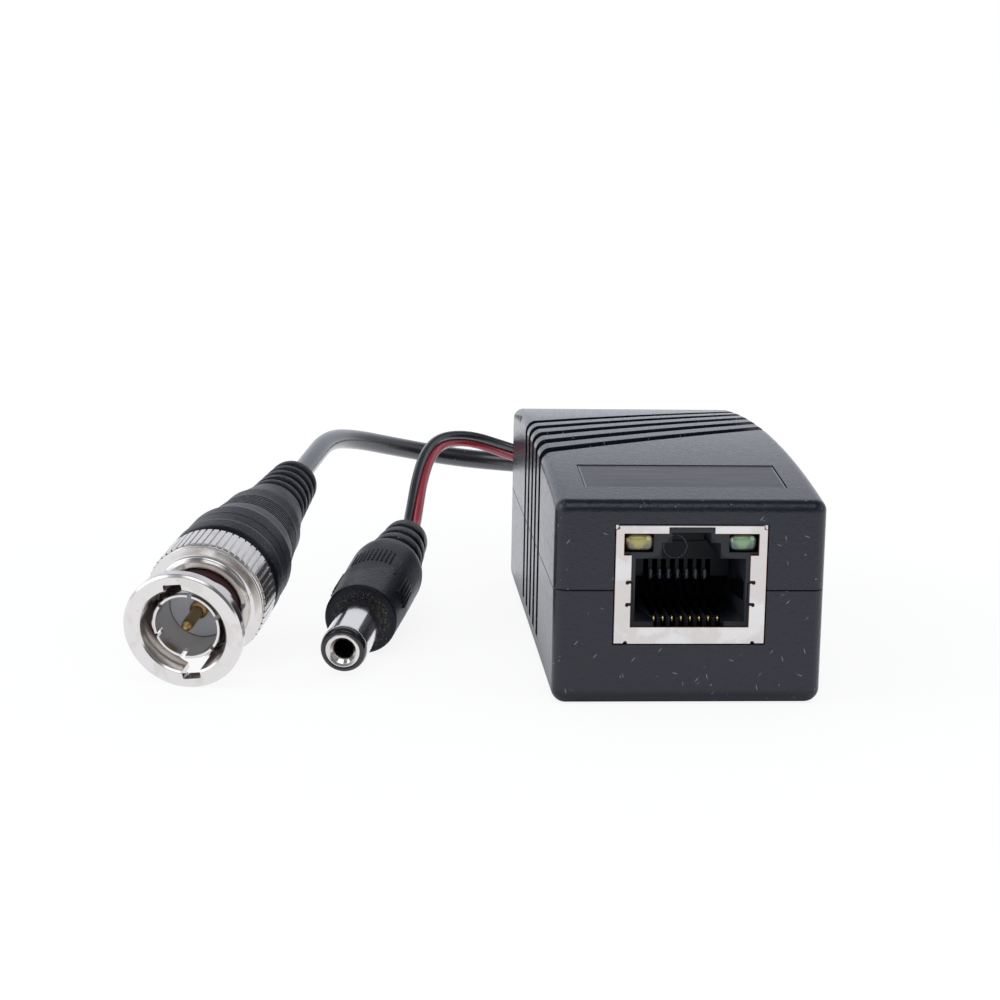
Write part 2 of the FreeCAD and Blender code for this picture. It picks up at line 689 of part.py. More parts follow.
def make_contact(number):
    """One spring: solder tail, run along the cavity floor, nose, and blade rising to the comb."""
    body = new_body(f"jack_contact_{number + 1}")
    floor = size.jack_floor + size.cavity_floor
    low = floor - size.contact_trench
    t = size.contact_thick
    nose = jack_front + size.contact_front
    tail = tail_y(number) + t / 2
    end_y = jack_front + size.comb_front + size.contact_reach
    end_z = floor + size.contact_rise
    foot = board_base - size.tail_reach
    corners = [
        (tail, foot), (tail, low + t), (nose + 2.5 * t, low + t),
        (nose + 1.5 * t, low + 2 * t), (nose + 2 * t, floor - 0.35),
        (end_y, end_z), (end_y - 0.12, end_z + 0.28),
        (nose + 0.1, floor - 0.05), (nose, floor - 0.3), (nose + 0.05, low + 0.35),
        (nose + 0.35, low), (tail - t, low), (tail - t, foot)]
    sketch = new_sketch(body, "YZ_Plane", f"contact_{number + 1}_side", contact_x(number))
    draw_outline(sketch, corners)
    pad(body, sketch, size.contact_wide, f"contact_{number + 1}_strip", both_ways=True)
    doc.recompute()
    return body


def make_comb():
    """The comb hangs from the cavity roof and keeps the blades apart."""
    body = new_body("contact_comb")
    floor = size.jack_floor + size.cavity_floor
    roof = floor + size.cavity_height
    side = size.cavity_width / 2 - size.comb_play
    front = half_length - size.comb_front
    back = size.cavity_depth + size.jack_sheet + size.jack_body_gap
    pad_outline(body, "XZ_Plane", "comb_block", rectangle(-side, floor + size.comb_rise, side, roof),
                back - size.comb_front, front, backwards=True)
    slots = new_sketch(body, "XZ_Plane", "comb_slots_side", front + 1)
    for number in range(CONTACTS):
        x = contact_x(number)
        half = size.comb_slot / 2
        draw_outline(slots, rectangle(x - half, floor, x + half, roof - size.comb_back))
    pocket(body, slots, back - size.comb_front + 2, "comb_slots")
    return body


def make_lamp(label, across):
    """A rectangular lamp with a rounded lens and two legs that turn down behind the jack body."""
    body = new_body(label)
    centre = size.led_centre * across
    z = size.jack_floor + size.led_rise
    front = half_length - size.jack_sheet - size.led_recess
    wide = size.led_width / 2
    tall = size.led_height / 2
    corners = rectangle(centre - wide, z - tall, centre + wide, z + tall)
    block = pad_outline(body, "XZ_Plane", label + "_lens", corners, size.led_length, front, backwards=True)

    def is_front_upright(edge):
        box = edge.BoundBox
        return box.YMax < -front.value + 1e-3 and box.ZLength > 1

    round_edges(body, block, label + "_rounding", size.led_rounding, is_front_upright)
    reach = half_length - size.jack_sheet - size.jack_body_depth - size.led_bend
    lead = size.led_lead / 2
    for side in (-1, 1):
        x = centre + size.led_pitch / 2 * side
        pad_outline(body, "XZ_Plane", f"{label}_leg_{side + 2}",
                    rectangle(x - lead, z - lead, x + lead, z + lead),
                    front - size.led_length + 0.3 - reach, front - size.led_length + 0.3, backwards=True)
        pad_outline(body, "XY_Plane", f"{label}_foot_{side + 2}",
                    rectangle(x - lead, -reach - size.led_lead, x + lead, -reach),
                    z + lead - board_top, board_top)
    doc.recompute()
    return body


# Parts on the board behind the jack.
def board_box(label, x, back, wide, long, tall):
    """A plain moulded part, placed by its middle and its distance behind the board's front edge."""
    body = new_body(label)
    x = as_size(x)
    place = size.board_front - half_length + back
    pad_outline(body, "XY_Plane", label + "_block",
                rectangle(x - wide / 2, place - long / 2, x + wide / 2, place + long / 2), tall, board_top)
    doc.recompute()
    return body


def make_transformer():
    """A ferrite ring on a moulded base, wound with a pair of enamelled wires."""
    board_box("transformer_base", 0, size.transformer_back, size.base_width, size.base_width,
              size.base_height)
    centre_y = size.board_front - half_length + size.transformer_back
    wire = size.winding_wire
    play = as_size(0.05)
    low = board_top + size.base_height + wire
    spot = FreeCAD.Placement(Vector(0, centre_y.value, low.value), FreeCAD.Rotation())
    turn("transformer_core", [
        (size.core_bore, 0), (size.core_radius, 0), (size.core_radius, size.core_height),
        (size.core_bore, size.core_height)], spot)
    winding = new_body("transformer_winding", spot)
    inner = size.core_bore - play
    outer = size.core_radius + play
    packed = new_sketch(winding, "XY_Plane", "winding_bore_plan", -wire)
    draw_circle(packed, 0, 0, inner)
    draw_circle(packed, 0, 0, inner - wire)
    pad(winding, packed, size.core_height + 2 * wire, "winding_bore")
    loop = new_sketch(winding, "XZ_Plane", "winding_turn_section")
    draw_outline(loop, rectangle(inner - wire, -wire, outer + wire, size.core_height + wire))
    draw_outline(loop, rectangle(inner, -play, outer, size.core_height + play))
    one = pad(winding, loop, wire, "winding_turn", both_ways=True)
    pattern_round(winding, one, "winding_turns", TRANSFORMER_TURNS, 360)


def make_disc_part(label, x, back, radius, thick):
    """A lacquered disc that stands on two legs, broad side towards the back."""
    body = new_body(label)
    place = size.board_front - half_length + back
    disc = new_sketch(body, "XZ_Plane", label + "_face", -place)
    height = board_top + radius + size.leg_height
    draw_circle(disc, x, height, radius)
    pad(body, disc, thick, label + "_disc", both_ways=True)
    wire = size.leg_wire
    for side in (-1, 1):
        leg = x + 0.6 * radius * side
        pad_outline(body, "XZ_Plane", f"{label}_leg_{side + 2}",
                    rectangle(leg - wire / 2, board_top, leg + wire / 2, height - 0.3 * radius), wire, -place,
                    both_ways=True)
    doc.recompute()


def make_tie(label, x, half_wide, half_tall):
    """A cable tie drawn tight round a lead just inside its saddle, with its head on top."""
    body = new_body(label)
    middle = size.parting_height
    offset = -(half_length - size.tie_back)
    strap = new_sketch(body, "XZ_Plane", label + "_strap_face", offset)
    outer_wide = half_wide + size.tie_band
    outer_tall = half_tall + size.tie_band
    draw_outline(strap, rectangle(x - outer_wide, middle - outer_tall, x + outer_wide, middle + outer_tall))
    draw_outline(strap, rectangle(x - half_wide, middle - half_tall, x + half_wide, middle + half_tall))
    pad(body, strap, size.tie_width, label + "_strap", backwards=True)
    half_head = size.tie_head / 2
    pad_outline(body, "XZ_Plane", label + "_head",
                rectangle(x - half_head, middle + half_tall + size.tie_band / 2,
                          x + half_head, middle + half_tall + size.tie_head_rise),
                size.tie_head_length, offset, backwards=True)
    doc.recompute()


# Video plug
def plug_frame(nose_x, nose_y, nose_z, heading, tilt):
    """Turns a plug's own Z axis, which runs from its nose to its lead, to where it points."""
    axis = Vector(math.sin(heading) * math.cos(tilt), math.cos(heading) * math.cos(tilt), math.sin(tilt))
    side = Vector(math.cos(heading), -math.sin(heading), 0)
    up = axis.cross(side) * -1
    matrix = FreeCAD.Matrix(side.x, -up.x, axis.x, 0, side.y, -up.y, axis.y, 0,
                            side.z, -up.z, axis.z, 0, 0, 0, 0, 1)
    placement = FreeCAD.Placement(matrix)
    placement.Base = Vector(nose_x, nose_y, nose_z)
    return placement


bnc_tilt = math.radians(size.bnc_tilt.value)
bnc_nose_z = size.rim_radius.value * math.cos(bnc_tilt) - size.rim_edge.value * math.sin(bnc_tilt)
bnc_place = plug_frame(size.bnc_nose_x.value, size.bnc_nose_y.value, bnc_nose_z,
                       math.radians(size.bnc_heading.value), bnc_tilt)
dc_tilt = math.radians(size.dc_tilt.value)
dc_lowest = size.barrel_length.value + size.handle_edge.value
dc_nose_z = size.handle_radius.value * math.cos(dc_tilt) - dc_lowest * math.sin(dc_tilt)
dc_place = plug_frame(size.dc_nose_x.value, size.dc_nose_y.value, dc_nose_z,
                      math.radians(size.dc_heading.value), dc_tilt)


def rolled(angle):
    """The video plug's place, turned about the plug's own axis."""
    roll = FreeCAD.Rotation(Vector(0, 0, 1), angle.value)
    return bnc_place.multiply(FreeCAD.Placement(Vector(0, 0, 0), roll))


def make_bnc_nut():
    """Coupling nut: flat rim, neck with two windows, coved shoulder, grip band, and a lip inside."""
    edge = size.rim_edge
    chamfer = size.rim_edge / 2
    place = rolled(size.nut_roll)
    corners = [
        (size.nut_bore + chamfer, 0), (size.rim_radius - edge, 0), (size.rim_radius, edge),
        (size.rim_radius, size.rim_length - chamfer), (size.rim_radius - chamfer, size.rim_length),
        (size.neck_radius, size.rim_length), (size.neck_radius, size.window_back + chamfer),
        (size.shoulder_radius, size.shoulder_back), (size.shoulder_radius, size.band_front - 3 * chamfer),
        (size.band_radius - chamfer, size.band_front - chamfer), (size.band_radius, size.band_front),
        (size.band_radius, size.nut_length - chamfer), (size.band_radius - chamfer, size.nut_length),
        (size.nut_rear_bore, size.nut_length), (size.nut_rear_bore, size.nut_lip_back),
        (size.nut_lip_bore, size.nut_lip_back), (size.nut_lip_bore, size.nut_lip_front),
        (size.nut_bore, size.nut_lip_front), (size.nut_bore, chamfer)]
    blank = turn("bnc_nut_blank", corners, place, {6: (size.cove_radius, 1)})
    half = size.entry_width / 2
    cut_outline(blank, "XY_Plane", "bnc_entries",
                rectangle(-half, -size.entry_radius, half, size.entry_radius),
                size.ramp_low + size.entry_width, as_size(-1), backwards=True)
    windows = doc.addObject("Part::Feature", "bnc_windows")
    windows.Shape = bayonet_windows()
    windows.Placement = place
    return cut_away("bnc_nut", blank, [windows])


def bayonet_windows():
    """Two opposite windows in the neck. Their front edge is the ramp that a socket's pin climbs,
    with a seat at its end; their back edge is square."""
    inner = size.nut_bore.value - 0.4
    outer = size.neck_radius.value + 0.3
    back = size.window_back.value
    start = -90 - size.window_lead.value
    sweep = size.window_sweep.value
    steps = 14
    sections = []
    for step in range(steps + 1):
        share = step / steps
        ramp = min(1.0, share / 0.7)
        front = size.ramp_low.value + (size.ramp_high.value - size.ramp_low.value) * ramp
        if share > 0.8:
            front -= size.ramp_seat.value
        angle = math.radians(start + sweep * share)
        corners = [(inner, front), (outer, front), (outer, back), (inner, back), (inner, front)]
        sections.append(Part.makePolygon(
            [Vector(r * math.cos(angle), r * math.sin(angle), height) for r, height in corners]))
    one = Part.makeLoft(sections, True, True)
    two = one.copy()
    two.rotate(Vector(0, 0, 0), Vector(0, 0, 1), 180)
    return one.fuse(two)


def make_bnc_core():
    """The plug's fixed parts: slotted contact body, insulator, pin, gasket, washers and ring."""
    gap = size.run_gap
    flange = size.nut_bore - gap
    stem = size.nut_lip_bore - gap
    tube = size.contact_radius
    body = turn("bnc_body", [
        (size.contact_bore, size.tip_back), (tube - 0.1, size.tip_back), (tube, size.tip_back + 0.4),
        (tube, size.tip_back + 1.4), (tube - 0.15, size.tip_back + 2.2), (tube - 0.15, size.flange_front),
        (flange, size.flange_front), (flange, size.flange_back), (stem, size.flange_back),
        (stem, size.nut_length - 0.3), (size.stem_radius, size.nut_length + 0.1),
        (size.stem_radius, size.stem_back), (size.stem_bore, size.stem_back),
        (size.stem_bore, size.insulator_back),
        (size.contact_bore, size.insulator_back)], rolled(size.core_roll))
    reach = size.contact_radius + 0.5
    half = size.contact_slot / 2
    slot = cut_outline(body, "XY_Plane", "bnc_finger_slot", rectangle(-reach, -half, reach, half),
                       size.contact_slot_length, size.tip_back, backwards=True)
    pattern_round(body, slot, "bnc_finger_slots", 3, 120)
    turn("bnc_insulator", [
        (size.pin_base_radius, size.insulator_front), (size.contact_bore, size.insulator_front),
        (size.contact_bore, size.insulator_back), (size.pin_base_radius, size.insulator_back)], bnc_place)
    turn("bnc_pin", [
        (0, size.pin_tip), (size.pin_radius * 0.4, size.pin_tip + 0.05),
        (size.pin_radius, size.pin_tip + 0.9), (size.pin_radius, size.pin_step),
        (size.pin_base_radius, size.pin_step + 0.3),
        (size.pin_base_radius, size.pin_back), (0, size.pin_back)], bnc_place)
    turn("bnc_gasket", [
        (tube - 0.15, size.gasket_front), (size.nut_bore - 0.2, size.gasket_front),
        (size.nut_bore - 0.2, size.flange_front), (tube - 0.15, size.flange_front)], bnc_place)
    back = size.nut_lip_back + size.ring_gap
    turn("bnc_retaining_ring", [
        (stem, back), (size.nut_rear_bore - 0.1, back),
        (size.nut_rear_bore - 0.1, back + size.ring_thick),
        (stem, back + size.ring_thick)], bnc_place)
    washer_front = size.nut_lip_front - size.washer_sheet
    turn("bnc_thrust_washer", [
        (stem + gap, washer_front), (flange - 0.05, washer_front),
        (flange - 0.05, size.nut_lip_front), (stem + gap, size.nut_lip_front)], bnc_place)
    washer = doc.addObject("Part::Feature", "bnc_wave_washer")
    washer.Label = "bnc_wave_washer"
    washer.Shape = wave_washer()
    washer.Placement = bnc_place


def wave_washer():
    """A thin spring ring with three waves, between the body's flange and the thrust washer."""
    inner = size.nut_lip_bore.value + 0.02
    outer = size.nut_bore.value - size.run_gap.value - 0.05
    low = size.flange_back.value
    high = size.nut_lip_front.value - size.washer_sheet.value
    sheet_thick = size.washer_sheet.value
    swing = (high - low - sheet_thick) / 2
    middle = (high + low - sheet_thick) / 2
    steps = 24
    sections = []
    for step in range(steps):
        angle = 2 * math.pi * step / steps
        z = middle + swing * math.sin(3 * angle)
        corners = [(inner, z), (outer, z), (outer, z + sheet_thick), (inner, z + sheet_thick), (inner, z)]
        sections.append(Part.makePolygon(
            [Vector(r * math.cos(angle), r * math.sin(angle), height) for r, height in corners]))
    return Part.makeLoft(sections, True, True, True)


def make_bnc_boot():
    """Moulded boot: barrel, ringed band, shoulder, then strain-relief rings down to the lead."""
    front = size.nut_length + size.boot_gap
    end = front + size.boot_length
    big = size.boot_radius
    outline = [
        (size.stem_radius, front), (big - 0.7, front), (big - 0.15, front + 0.9), (big, front + 5.4),
        (big - 0.1, front + 5.9), (big - 0.35, front + 6.2), (big - 0.5, front + 11.5),
        (big - 0.6, front + 12.0), (big - 1.1, front + 14.1), (big - 1.45, front + 14.4),
        (big - 1.5, front + 14.7), (big - 1.3, front + 14.9), (big - 2.3, front + 19.8)]
    rings = 5
    start = front + 20.3
    pitch = (end - start) / rings
    taper = (size.boot_end_radius - size.boot_tail_radius) / (rings - 1)
    for number in range(rings):
        radius = size.boot_tail_radius + taper * number
        low = radius - size.boot_ring_depth
        at = start + pitch * number
        finish = at + pitch - 0.25 if number < rings - 1 else end - 0.3
        outline += [(low, at - 0.15), (low, at + 0.25), (radius, at + 0.45), (radius, finish)]
    outline += [(size.boot_end_radius - 0.4, end), (0, end), (0, size.stem_back),
                (size.stem_radius, size.stem_back)]
    return turn("bnc_boot", outline, bnc_place)


# Power plug
def make_power_plug():
    """Barrel and sleeve with a black insulator between them, all held in a moulded handle."""
    barrel = size.barrel_radius
    bore = barrel - size.barrel_wall
    face = size.barrel_length
    root = face + size.barrel_root
    nose = size.nose_length
    step = size.root_step
    turn("dc_barrel", [
        (bore, nose), (barrel, nose), (barrel, face), (barrel - step, face), (barrel - step, root),
        (bore - step, root), (bore - step, face - step), (bore, face - step)], dc_place)
    flare = size.flare_radius
    lip = nose - 0.2
    turn("dc_inner_sleeve", [
        (size.sleeve_bore + 0.15, lip), (flare - 0.1, as_size(0.05)), (flare, as_size(0.12)),
        (flare, as_size(0.3)), (size.sleeve_radius, nose), (size.sleeve_radius, root),
        (size.sleeve_bore, root), (size.sleeve_bore, nose)], dc_place)
    tip = barrel - size.nose_step - 0.06
    turn("dc_tip_insulator", [
        (flare, as_size(0.12)), (flare + 0.3, as_size(0.05)), (tip - 0.25, as_size(0.2)),
        (tip, as_size(0.55)), (tip + 0.06, nose), (bore, nose), (bore, face - step),
        (bore - step, face - step), (bore - step, root), (size.sleeve_radius, root), (size.sleeve_radius, nose),
        (flare, as_size(0.3))], dc_place)
    radius = size.handle_radius
    edge = size.handle_edge
    swell = radius + size.handle_swell
    tail = face + size.handle_length
    end = tail + size.tail_length
    last = size.handle_tail_radius
    outline = [(barrel - step, face), (radius - edge, face), (radius, face + edge), (swell, tail - 5.2),
               (swell - 0.2, tail - 3.4), (last + 0.45, tail - 1.2), (last + 0.1, tail - 0.3)]
    rings = 3
    pitch = (end - tail) / rings
    taper = (size.tail_end_radius - last) / (rings - 1)
    for number in range(rings):
        ring = last + taper * number
        low = ring - size.tail_ring_depth
        at = tail + pitch * number
        finish = at + pitch - 0.3 if number < rings - 1 else end - 0.35
        outline += [(low, at - 0.1), (low, at + 0.45), (ring, at + 0.65), (ring, finish)]
    outline += [(size.tail_end_radius - 0.45, end), (0, end), (0, root), (barrel - step, root)]
    turn("dc_boot", outline, dc_place)


# Leads. Each route runs from inside the housing to the back end of its plug's boot, where it comes
# in along the plug's own axis.
COAX_ROUTE = [
    (2.4, 23.5, 13.0), (2.4, 36.8, 13.0), (-1.1, 44.0, 12.9), (-7.4, 48.9, 12.8),
    (-15.4, 50.9, 12.9), (-23.3, 49.9, 13.9), (-30.9, 46.6, 15.8), (-36.8, 41.2, 17.8),
    (-40.2, 34.2, 18.8)]
BLACK_ROUTE = [
    (-3.5, 24.0, 13.65), (-3.5, 34.5, 13.65), (-6.0, 39.1, 14.2), (-10.3, 41.7, 15.3),
    (-15.0, 42.8, 16.6), (-20.2, 42.5, 18.3), (-24.6, 40.1, 18.4), (-26.9, 36.1, 16.8),
    (-28.2, 31.4, 13.9), (-29.0, 26.7, 10.7)]
RED_ROUTE = [
    (-3.5, 24.0, 12.35), (-3.5, 34.5, 12.35), (-6.2, 39.25, 12.92), (-10.6, 41.7, 14.04),
    (-15.35, 42.8, 15.35), (-20.4, 42.5, 17.02), (-24.1, 39.9, 17.22), (-25.9, 35.9, 16.0),
    (-27.0, 31.2, 13.5), (-27.7, 26.5, 10.7)]


def into_plug(route, place, end, straight, across):
    """Ends a route at the back face of a boot, after a straight run along the plug's axis."""
    back = place.multVec(Vector(across, 0, end.value))
    before = place.multVec(Vector(across, 0, (end + straight).value))
    return route + [tuple(before), tuple(back)]


def lead(label, route, radius):
    """A plain round tube along straight runs that tangent arcs join."""
    points = [Vector(*point) for point in route]
    edges = []
    at = points[0]
    radii = []
    for before, corner, after in zip(points, points[1:], points[2:]):
        arriving = (corner - before).normalize()
        leaving = (after - corner).normalize()
        half_turn = math.acos(max(-1.0, min(1.0, arriving.dot(leaving)))) / 2
        shorter = min((corner - before).Length, (after - corner).Length)
        trim = 0.45 * shorter
        radii.append(trim / math.tan(half_turn))
        start = corner - arriving * trim
        finish = corner + leaving * trim
        inward = (leaving - arriving).normalize()
        middle = corner + inward * (radii[-1] / math.cos(half_turn) - radii[-1])
        edges.append(Part.LineSegment(at, start).toShape())
        edges.append(Part.Arc(start, middle, finish).toShape())
        at = finish
    edges.append(Part.LineSegment(at, points[-1]).toShape())
    path = Part.Wire(edges)
    heading = (points[1] - points[0]).normalize()
    section = Part.Wire(Part.Circle(points[0], heading, radius).toShape())
    tube = path.makePipeShell([section], True, True)
    item = doc.addObject("Part::Feature", label)
    item.Label = label
    item.Shape = tube
    item.Placement = FreeCAD.Placement()
    expected = math.pi * radius ** 2 * path.Length
    print(f"{label}: length {path.Length:.1f}, smallest radius {min(radii):.1f}, "
          f"radii {[round(r, 1) for r in radii]}, volume {tube.Volume:.2f} of {expected:.2f}")
    return item


make_lid()
make_tray()
make_label()
make_board()
make_jack_shield()
make_jack_body()
make_comb()
for contact in range(CONTACTS):
    make_contact(contact)
make_lamp("lamp_yellow", -1)
make_lamp("lamp_green", 1)
make_transformer()
beside_base = (size.base_width + size.suppressor_width) / 2 + size.part_gap
board_box("surge_suppressor", -beside_base, size.suppressor_back, size.suppressor_width,
          size.suppressor_length, size.suppressor_height)
part_line = board_width / 2 - size.part_inset
make_disc_part("resettable_fuse", part_line, size.filter_back, size.fuse_radius, size.fuse_thick)
make_disc_part("ceramic_capacitor", -part_line, size.filter_back, size.capacitor_radius,
               size.capacitor_thick)
make_tie("coax_tie", size.coax_exit_x, size.coax_radius, size.coax_radius)
make_tie("dc_tie", size.pair_exit_x, size.wire_radius, size.pair_spread + size.wire_radius)
make_bnc_nut()
make_bnc_core()
make_bnc_boot()
make_power_plug()
bnc_end = size.nut_length + size.boot_gap + size.boot_length
dc_end = size.barrel_length + size.handle_length + size.tail_length
spread = size.pair_spread.value
lead("coax_lead", into_plug(COAX_ROUTE, bnc_place, bnc_end, size.coax_straight, 0), size.coax_radius.value)
lead("dc_lead_black", into_plug(BLACK_ROUTE, dc_place, dc_end, size.wire_straight, -spread),
     size.wire_radius.value)
lead("dc_lead_red", into_plug(RED_ROUTE, dc_place, dc_end, size.wire_straight, spread),
     size.wire_radius.value)

NODES = ["housing_lid", "housing_tray", "label_plate", "circuit_board", "jack_shield", "jack_body",
         "contact_comb", "lamp_yellow", "lamp_green", "transformer_base", "transformer_core",
         "transformer_winding", "surge_suppressor", "resettable_fuse", "ceramic_capacitor", "coax_tie",
         "dc_tie", "bnc_nut", "bnc_body", "bnc_insulator", "bnc_pin", "bnc_gasket",
         "bnc_retaining_ring", "bnc_thrust_washer", "bnc_wave_washer", "bnc_boot", "dc_barrel",
         "dc_inner_sleeve", "dc_tip_insulator", "dc_boot", "coax_lead", "dc_lead_black", "dc_lead_red"]
NODES += [f"jack_contact_{number + 1}" for number in range(CONTACTS)]

doc.recompute()
for item in doc.Objects:
    if "Invalid" in item.State or "Error" in item.State:
        raise RuntimeError(f"{item.Label} failed: {item.State}")
os.makedirs("parts", exist_ok=True)
for label in NODES:
    item = doc.getObjectsByLabel(label)[0]
    shape = item.Shape
    if shape.isNull() or not shape.isValid() or not shape.Solids:
        raise RuntimeError(f"{label} has no sound solid")
    shape.exportStep(f"parts/{label}.step")
    print(label, len(shape.Solids), round(shape.Volume, 2))
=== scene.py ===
import math
import bmesh
import bpy
from mathutils import Matrix, Vector


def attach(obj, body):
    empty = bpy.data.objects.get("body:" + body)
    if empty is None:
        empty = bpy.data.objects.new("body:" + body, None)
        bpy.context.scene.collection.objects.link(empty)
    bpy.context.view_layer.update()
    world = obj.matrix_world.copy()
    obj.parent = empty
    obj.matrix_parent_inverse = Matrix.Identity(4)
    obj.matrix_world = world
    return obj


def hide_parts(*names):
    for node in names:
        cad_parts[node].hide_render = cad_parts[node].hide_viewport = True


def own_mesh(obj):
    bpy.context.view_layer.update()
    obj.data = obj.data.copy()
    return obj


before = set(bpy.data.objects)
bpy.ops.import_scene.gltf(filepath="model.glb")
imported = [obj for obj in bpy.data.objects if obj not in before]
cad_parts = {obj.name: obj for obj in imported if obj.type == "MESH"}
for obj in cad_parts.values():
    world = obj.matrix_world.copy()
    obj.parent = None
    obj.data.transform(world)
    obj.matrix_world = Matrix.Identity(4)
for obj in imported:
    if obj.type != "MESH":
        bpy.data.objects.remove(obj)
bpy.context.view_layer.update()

# Camera. It stands just left of the housing's middle line, a hand's length above the table, and
# looks slightly down along the housing at the network jack.
camera_data = bpy.data.cameras.new("camera")
camera_data.sensor_width = 36
camera_data.lens = 78.778
camera_data.clip_start = 0.01
camera = bpy.data.objects.new("camera", camera_data)
bpy.context.collection.objects.link(camera)
camera.matrix_world = (
    Matrix.Translation((-0.037708, -0.263125, 0.067465)) @ Matrix.Rotation(-0.07161, 4, "Z")
    @ Matrix.Rotation(math.pi / 2 - 0.18909, 4, "X") @ Matrix.Rotation(0.01734, 4, "Z"))
bpy.context.scene.camera = camera


# Leads. A thin coaxial lead and a pair of power wires, both jacketed in smooth extruded vinyl,
# leave the rear wall side by side and hang in the air between the housing and their plugs.
class Value:
    """What comes out of one node, ready for arithmetic."""

    def __init__(self, finish, socket):
        self.finish = finish
        self.socket = socket

    def __add__(self, other):
        return self.finish.sum_of("ADD", self, other)

    __radd__ = __add__

    def __sub__(self, other):
        return self.finish.sum_of("SUBTRACT", self, other)

    def __rsub__(self, other):
        return self.finish.sum_of("SUBTRACT", other, self)

    def __mul__(self, other):
        return self.finish.sum_of("MULTIPLY", self, other)

    __rmul__ = __mul__


class Finish:
    """The material of one kind of surface, built node by node."""

    def __init__(self, name, slot, **constants):
        self.slot = slot
        self.material = bpy.data.materials.new(name)
        self.material.use_nodes = True
        self.tree = self.material.node_tree
        self.shader = self.tree.nodes["Principled BSDF"]
        self.set(**constants)
        self.place = self.add("TexCoord", "Object")

    def feed(self, socket, term):
        if isinstance(term, Value):
            self.tree.links.new(term.socket, socket)
        elif socket.type == "RGBA":
            socket.default_value = (*term, 1)
        else:
            socket.default_value = term

    def add(self, kind, output, settings=(), inputs=()):
        node = self.tree.nodes.new("ShaderNode" + kind)
        for setting, choice in dict(settings).items():
            setattr(node, setting, choice)
        for name, term in dict(inputs).items():
            self.feed(node.inputs[name], term)
        return Value(self, node.outputs[output])

    def sum_of(self, operation, first, second):
        return self.add("Math", 0, {"operation": operation}, {0: first, 1: second})

    def limits(self, value, low, high, out_low=0.0, out_high=1.0):
        return self.add("MapRange", 0, {"interpolation_type": "SMOOTHSTEP"},
                        {0: value, 1: low, 2: high, 3: out_low, 4: out_high})

    def blend(self, share, first, second):
        return self.add("Mix", 2, {"data_type": "RGBA"}, {0: share, 6: first, 7: second})

    def noise(self, scale, detail=2.0, stretch=None):
        place = self.place
        if stretch:
            place = self.add("VectorMath", 0, {"operation": "MULTIPLY"}, {0: place, 1: stretch})
        return self.add("TexNoise", "Fac", {}, {"Vector": place, "Scale": scale, "Detail": detail})

    def specks(self, scale, share, size, length=1.0, turn=0.0):
        """Sparse dust: 1 on small spots, or on hairs of some length at a turn from the level."""
        place = self.place
        if length > 1:
            place = self.add("Mapping", 0, {"vector_type": "TEXTURE"}, {
                "Vector": place, "Rotation": (0, math.radians(turn), 0), "Scale": (length, 1, 1)})
        cells = {"Vector": place, "Scale": scale}
        near = self.add("TexVoronoi", "Distance", {}, cells)
        chance = self.add("SeparateColor", 0, {}, {
            "Color": self.add("TexVoronoi", "Color", {}, cells)})
        chosen = self.limits(chance, share, share * 0.7)
        return self.limits(near, size, size * 0.5) * chosen

    def set(self, **terms):
        for name, term in terms.items():
            self.feed(self.shader.inputs[name.replace("_", " ")], term)

    def larger(self, first, second):
        return self.sum_of("MAXIMUM", first, second)

    def bump(self, height, strength, distance, edge=None):
        terms = {"Height": height, "Strength": strength, "Distance": distance}
        if edge:
            terms["Normal"] = self.add("Bevel", 0, {"samples": 4}, {"Radius": edge})
        self.set(Normal=self.add("Bump", 0, {}, terms))

    def on(self, piece):
        piece.data.materials.clear()
        piece.data.materials.append(self.material)


def lead(name, node, route, diameter, finish):
    curve = bpy.data.curves.new(name, "CURVE")
    curve.dimensions = "3D"
    spline = curve.splines.new("NURBS")
    spline.points.add(len(route) - 1)
    for point, place in zip(spline.points, route):
        point.co = (*(0.001 * part for part in place), 1)
    spline.order_u = 3
    spline.use_endpoint_u = True
    spline.resolution_u = 16
    curve.bevel_depth = diameter / 2
    curve.bevel_resolution = 8
    curve.use_fill_caps = True
    piece = bpy.data.objects.new(name, curve)
    bpy.context.collection.objects.link(piece)
    finish.on(piece)
    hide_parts(node)
    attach(piece, "balun")


def lead_finish(name, colour, scuffed):
    finish = Finish(name, name, Specular_IOR_Level=0.8, Coat_Weight=1.0, Coat_Roughness=0.24)
    cloudy = finish.noise(260, 3)
    dust = finish.specks(1500, 0.16, 0.2)
    finish.set(Base_Color=finish.blend(dust * 0.3, finish.blend(cloudy, colour, scuffed), (0.4, 0.4, 0.42)))
    finish.set(Roughness=0.2 + 0.12 * cloudy + 0.3 * dust)
    finish.bump(finish.noise(1900, 2), 0.12, 0.00006)
    return finish


black_vinyl = lead_finish("lead_vinyl_black", (0.009, 0.01, 0.014), (0.017, 0.018, 0.023))
red_vinyl = lead_finish("lead_vinyl_red", (0.33, 0.008, 0.026), (0.42, 0.016, 0.04))

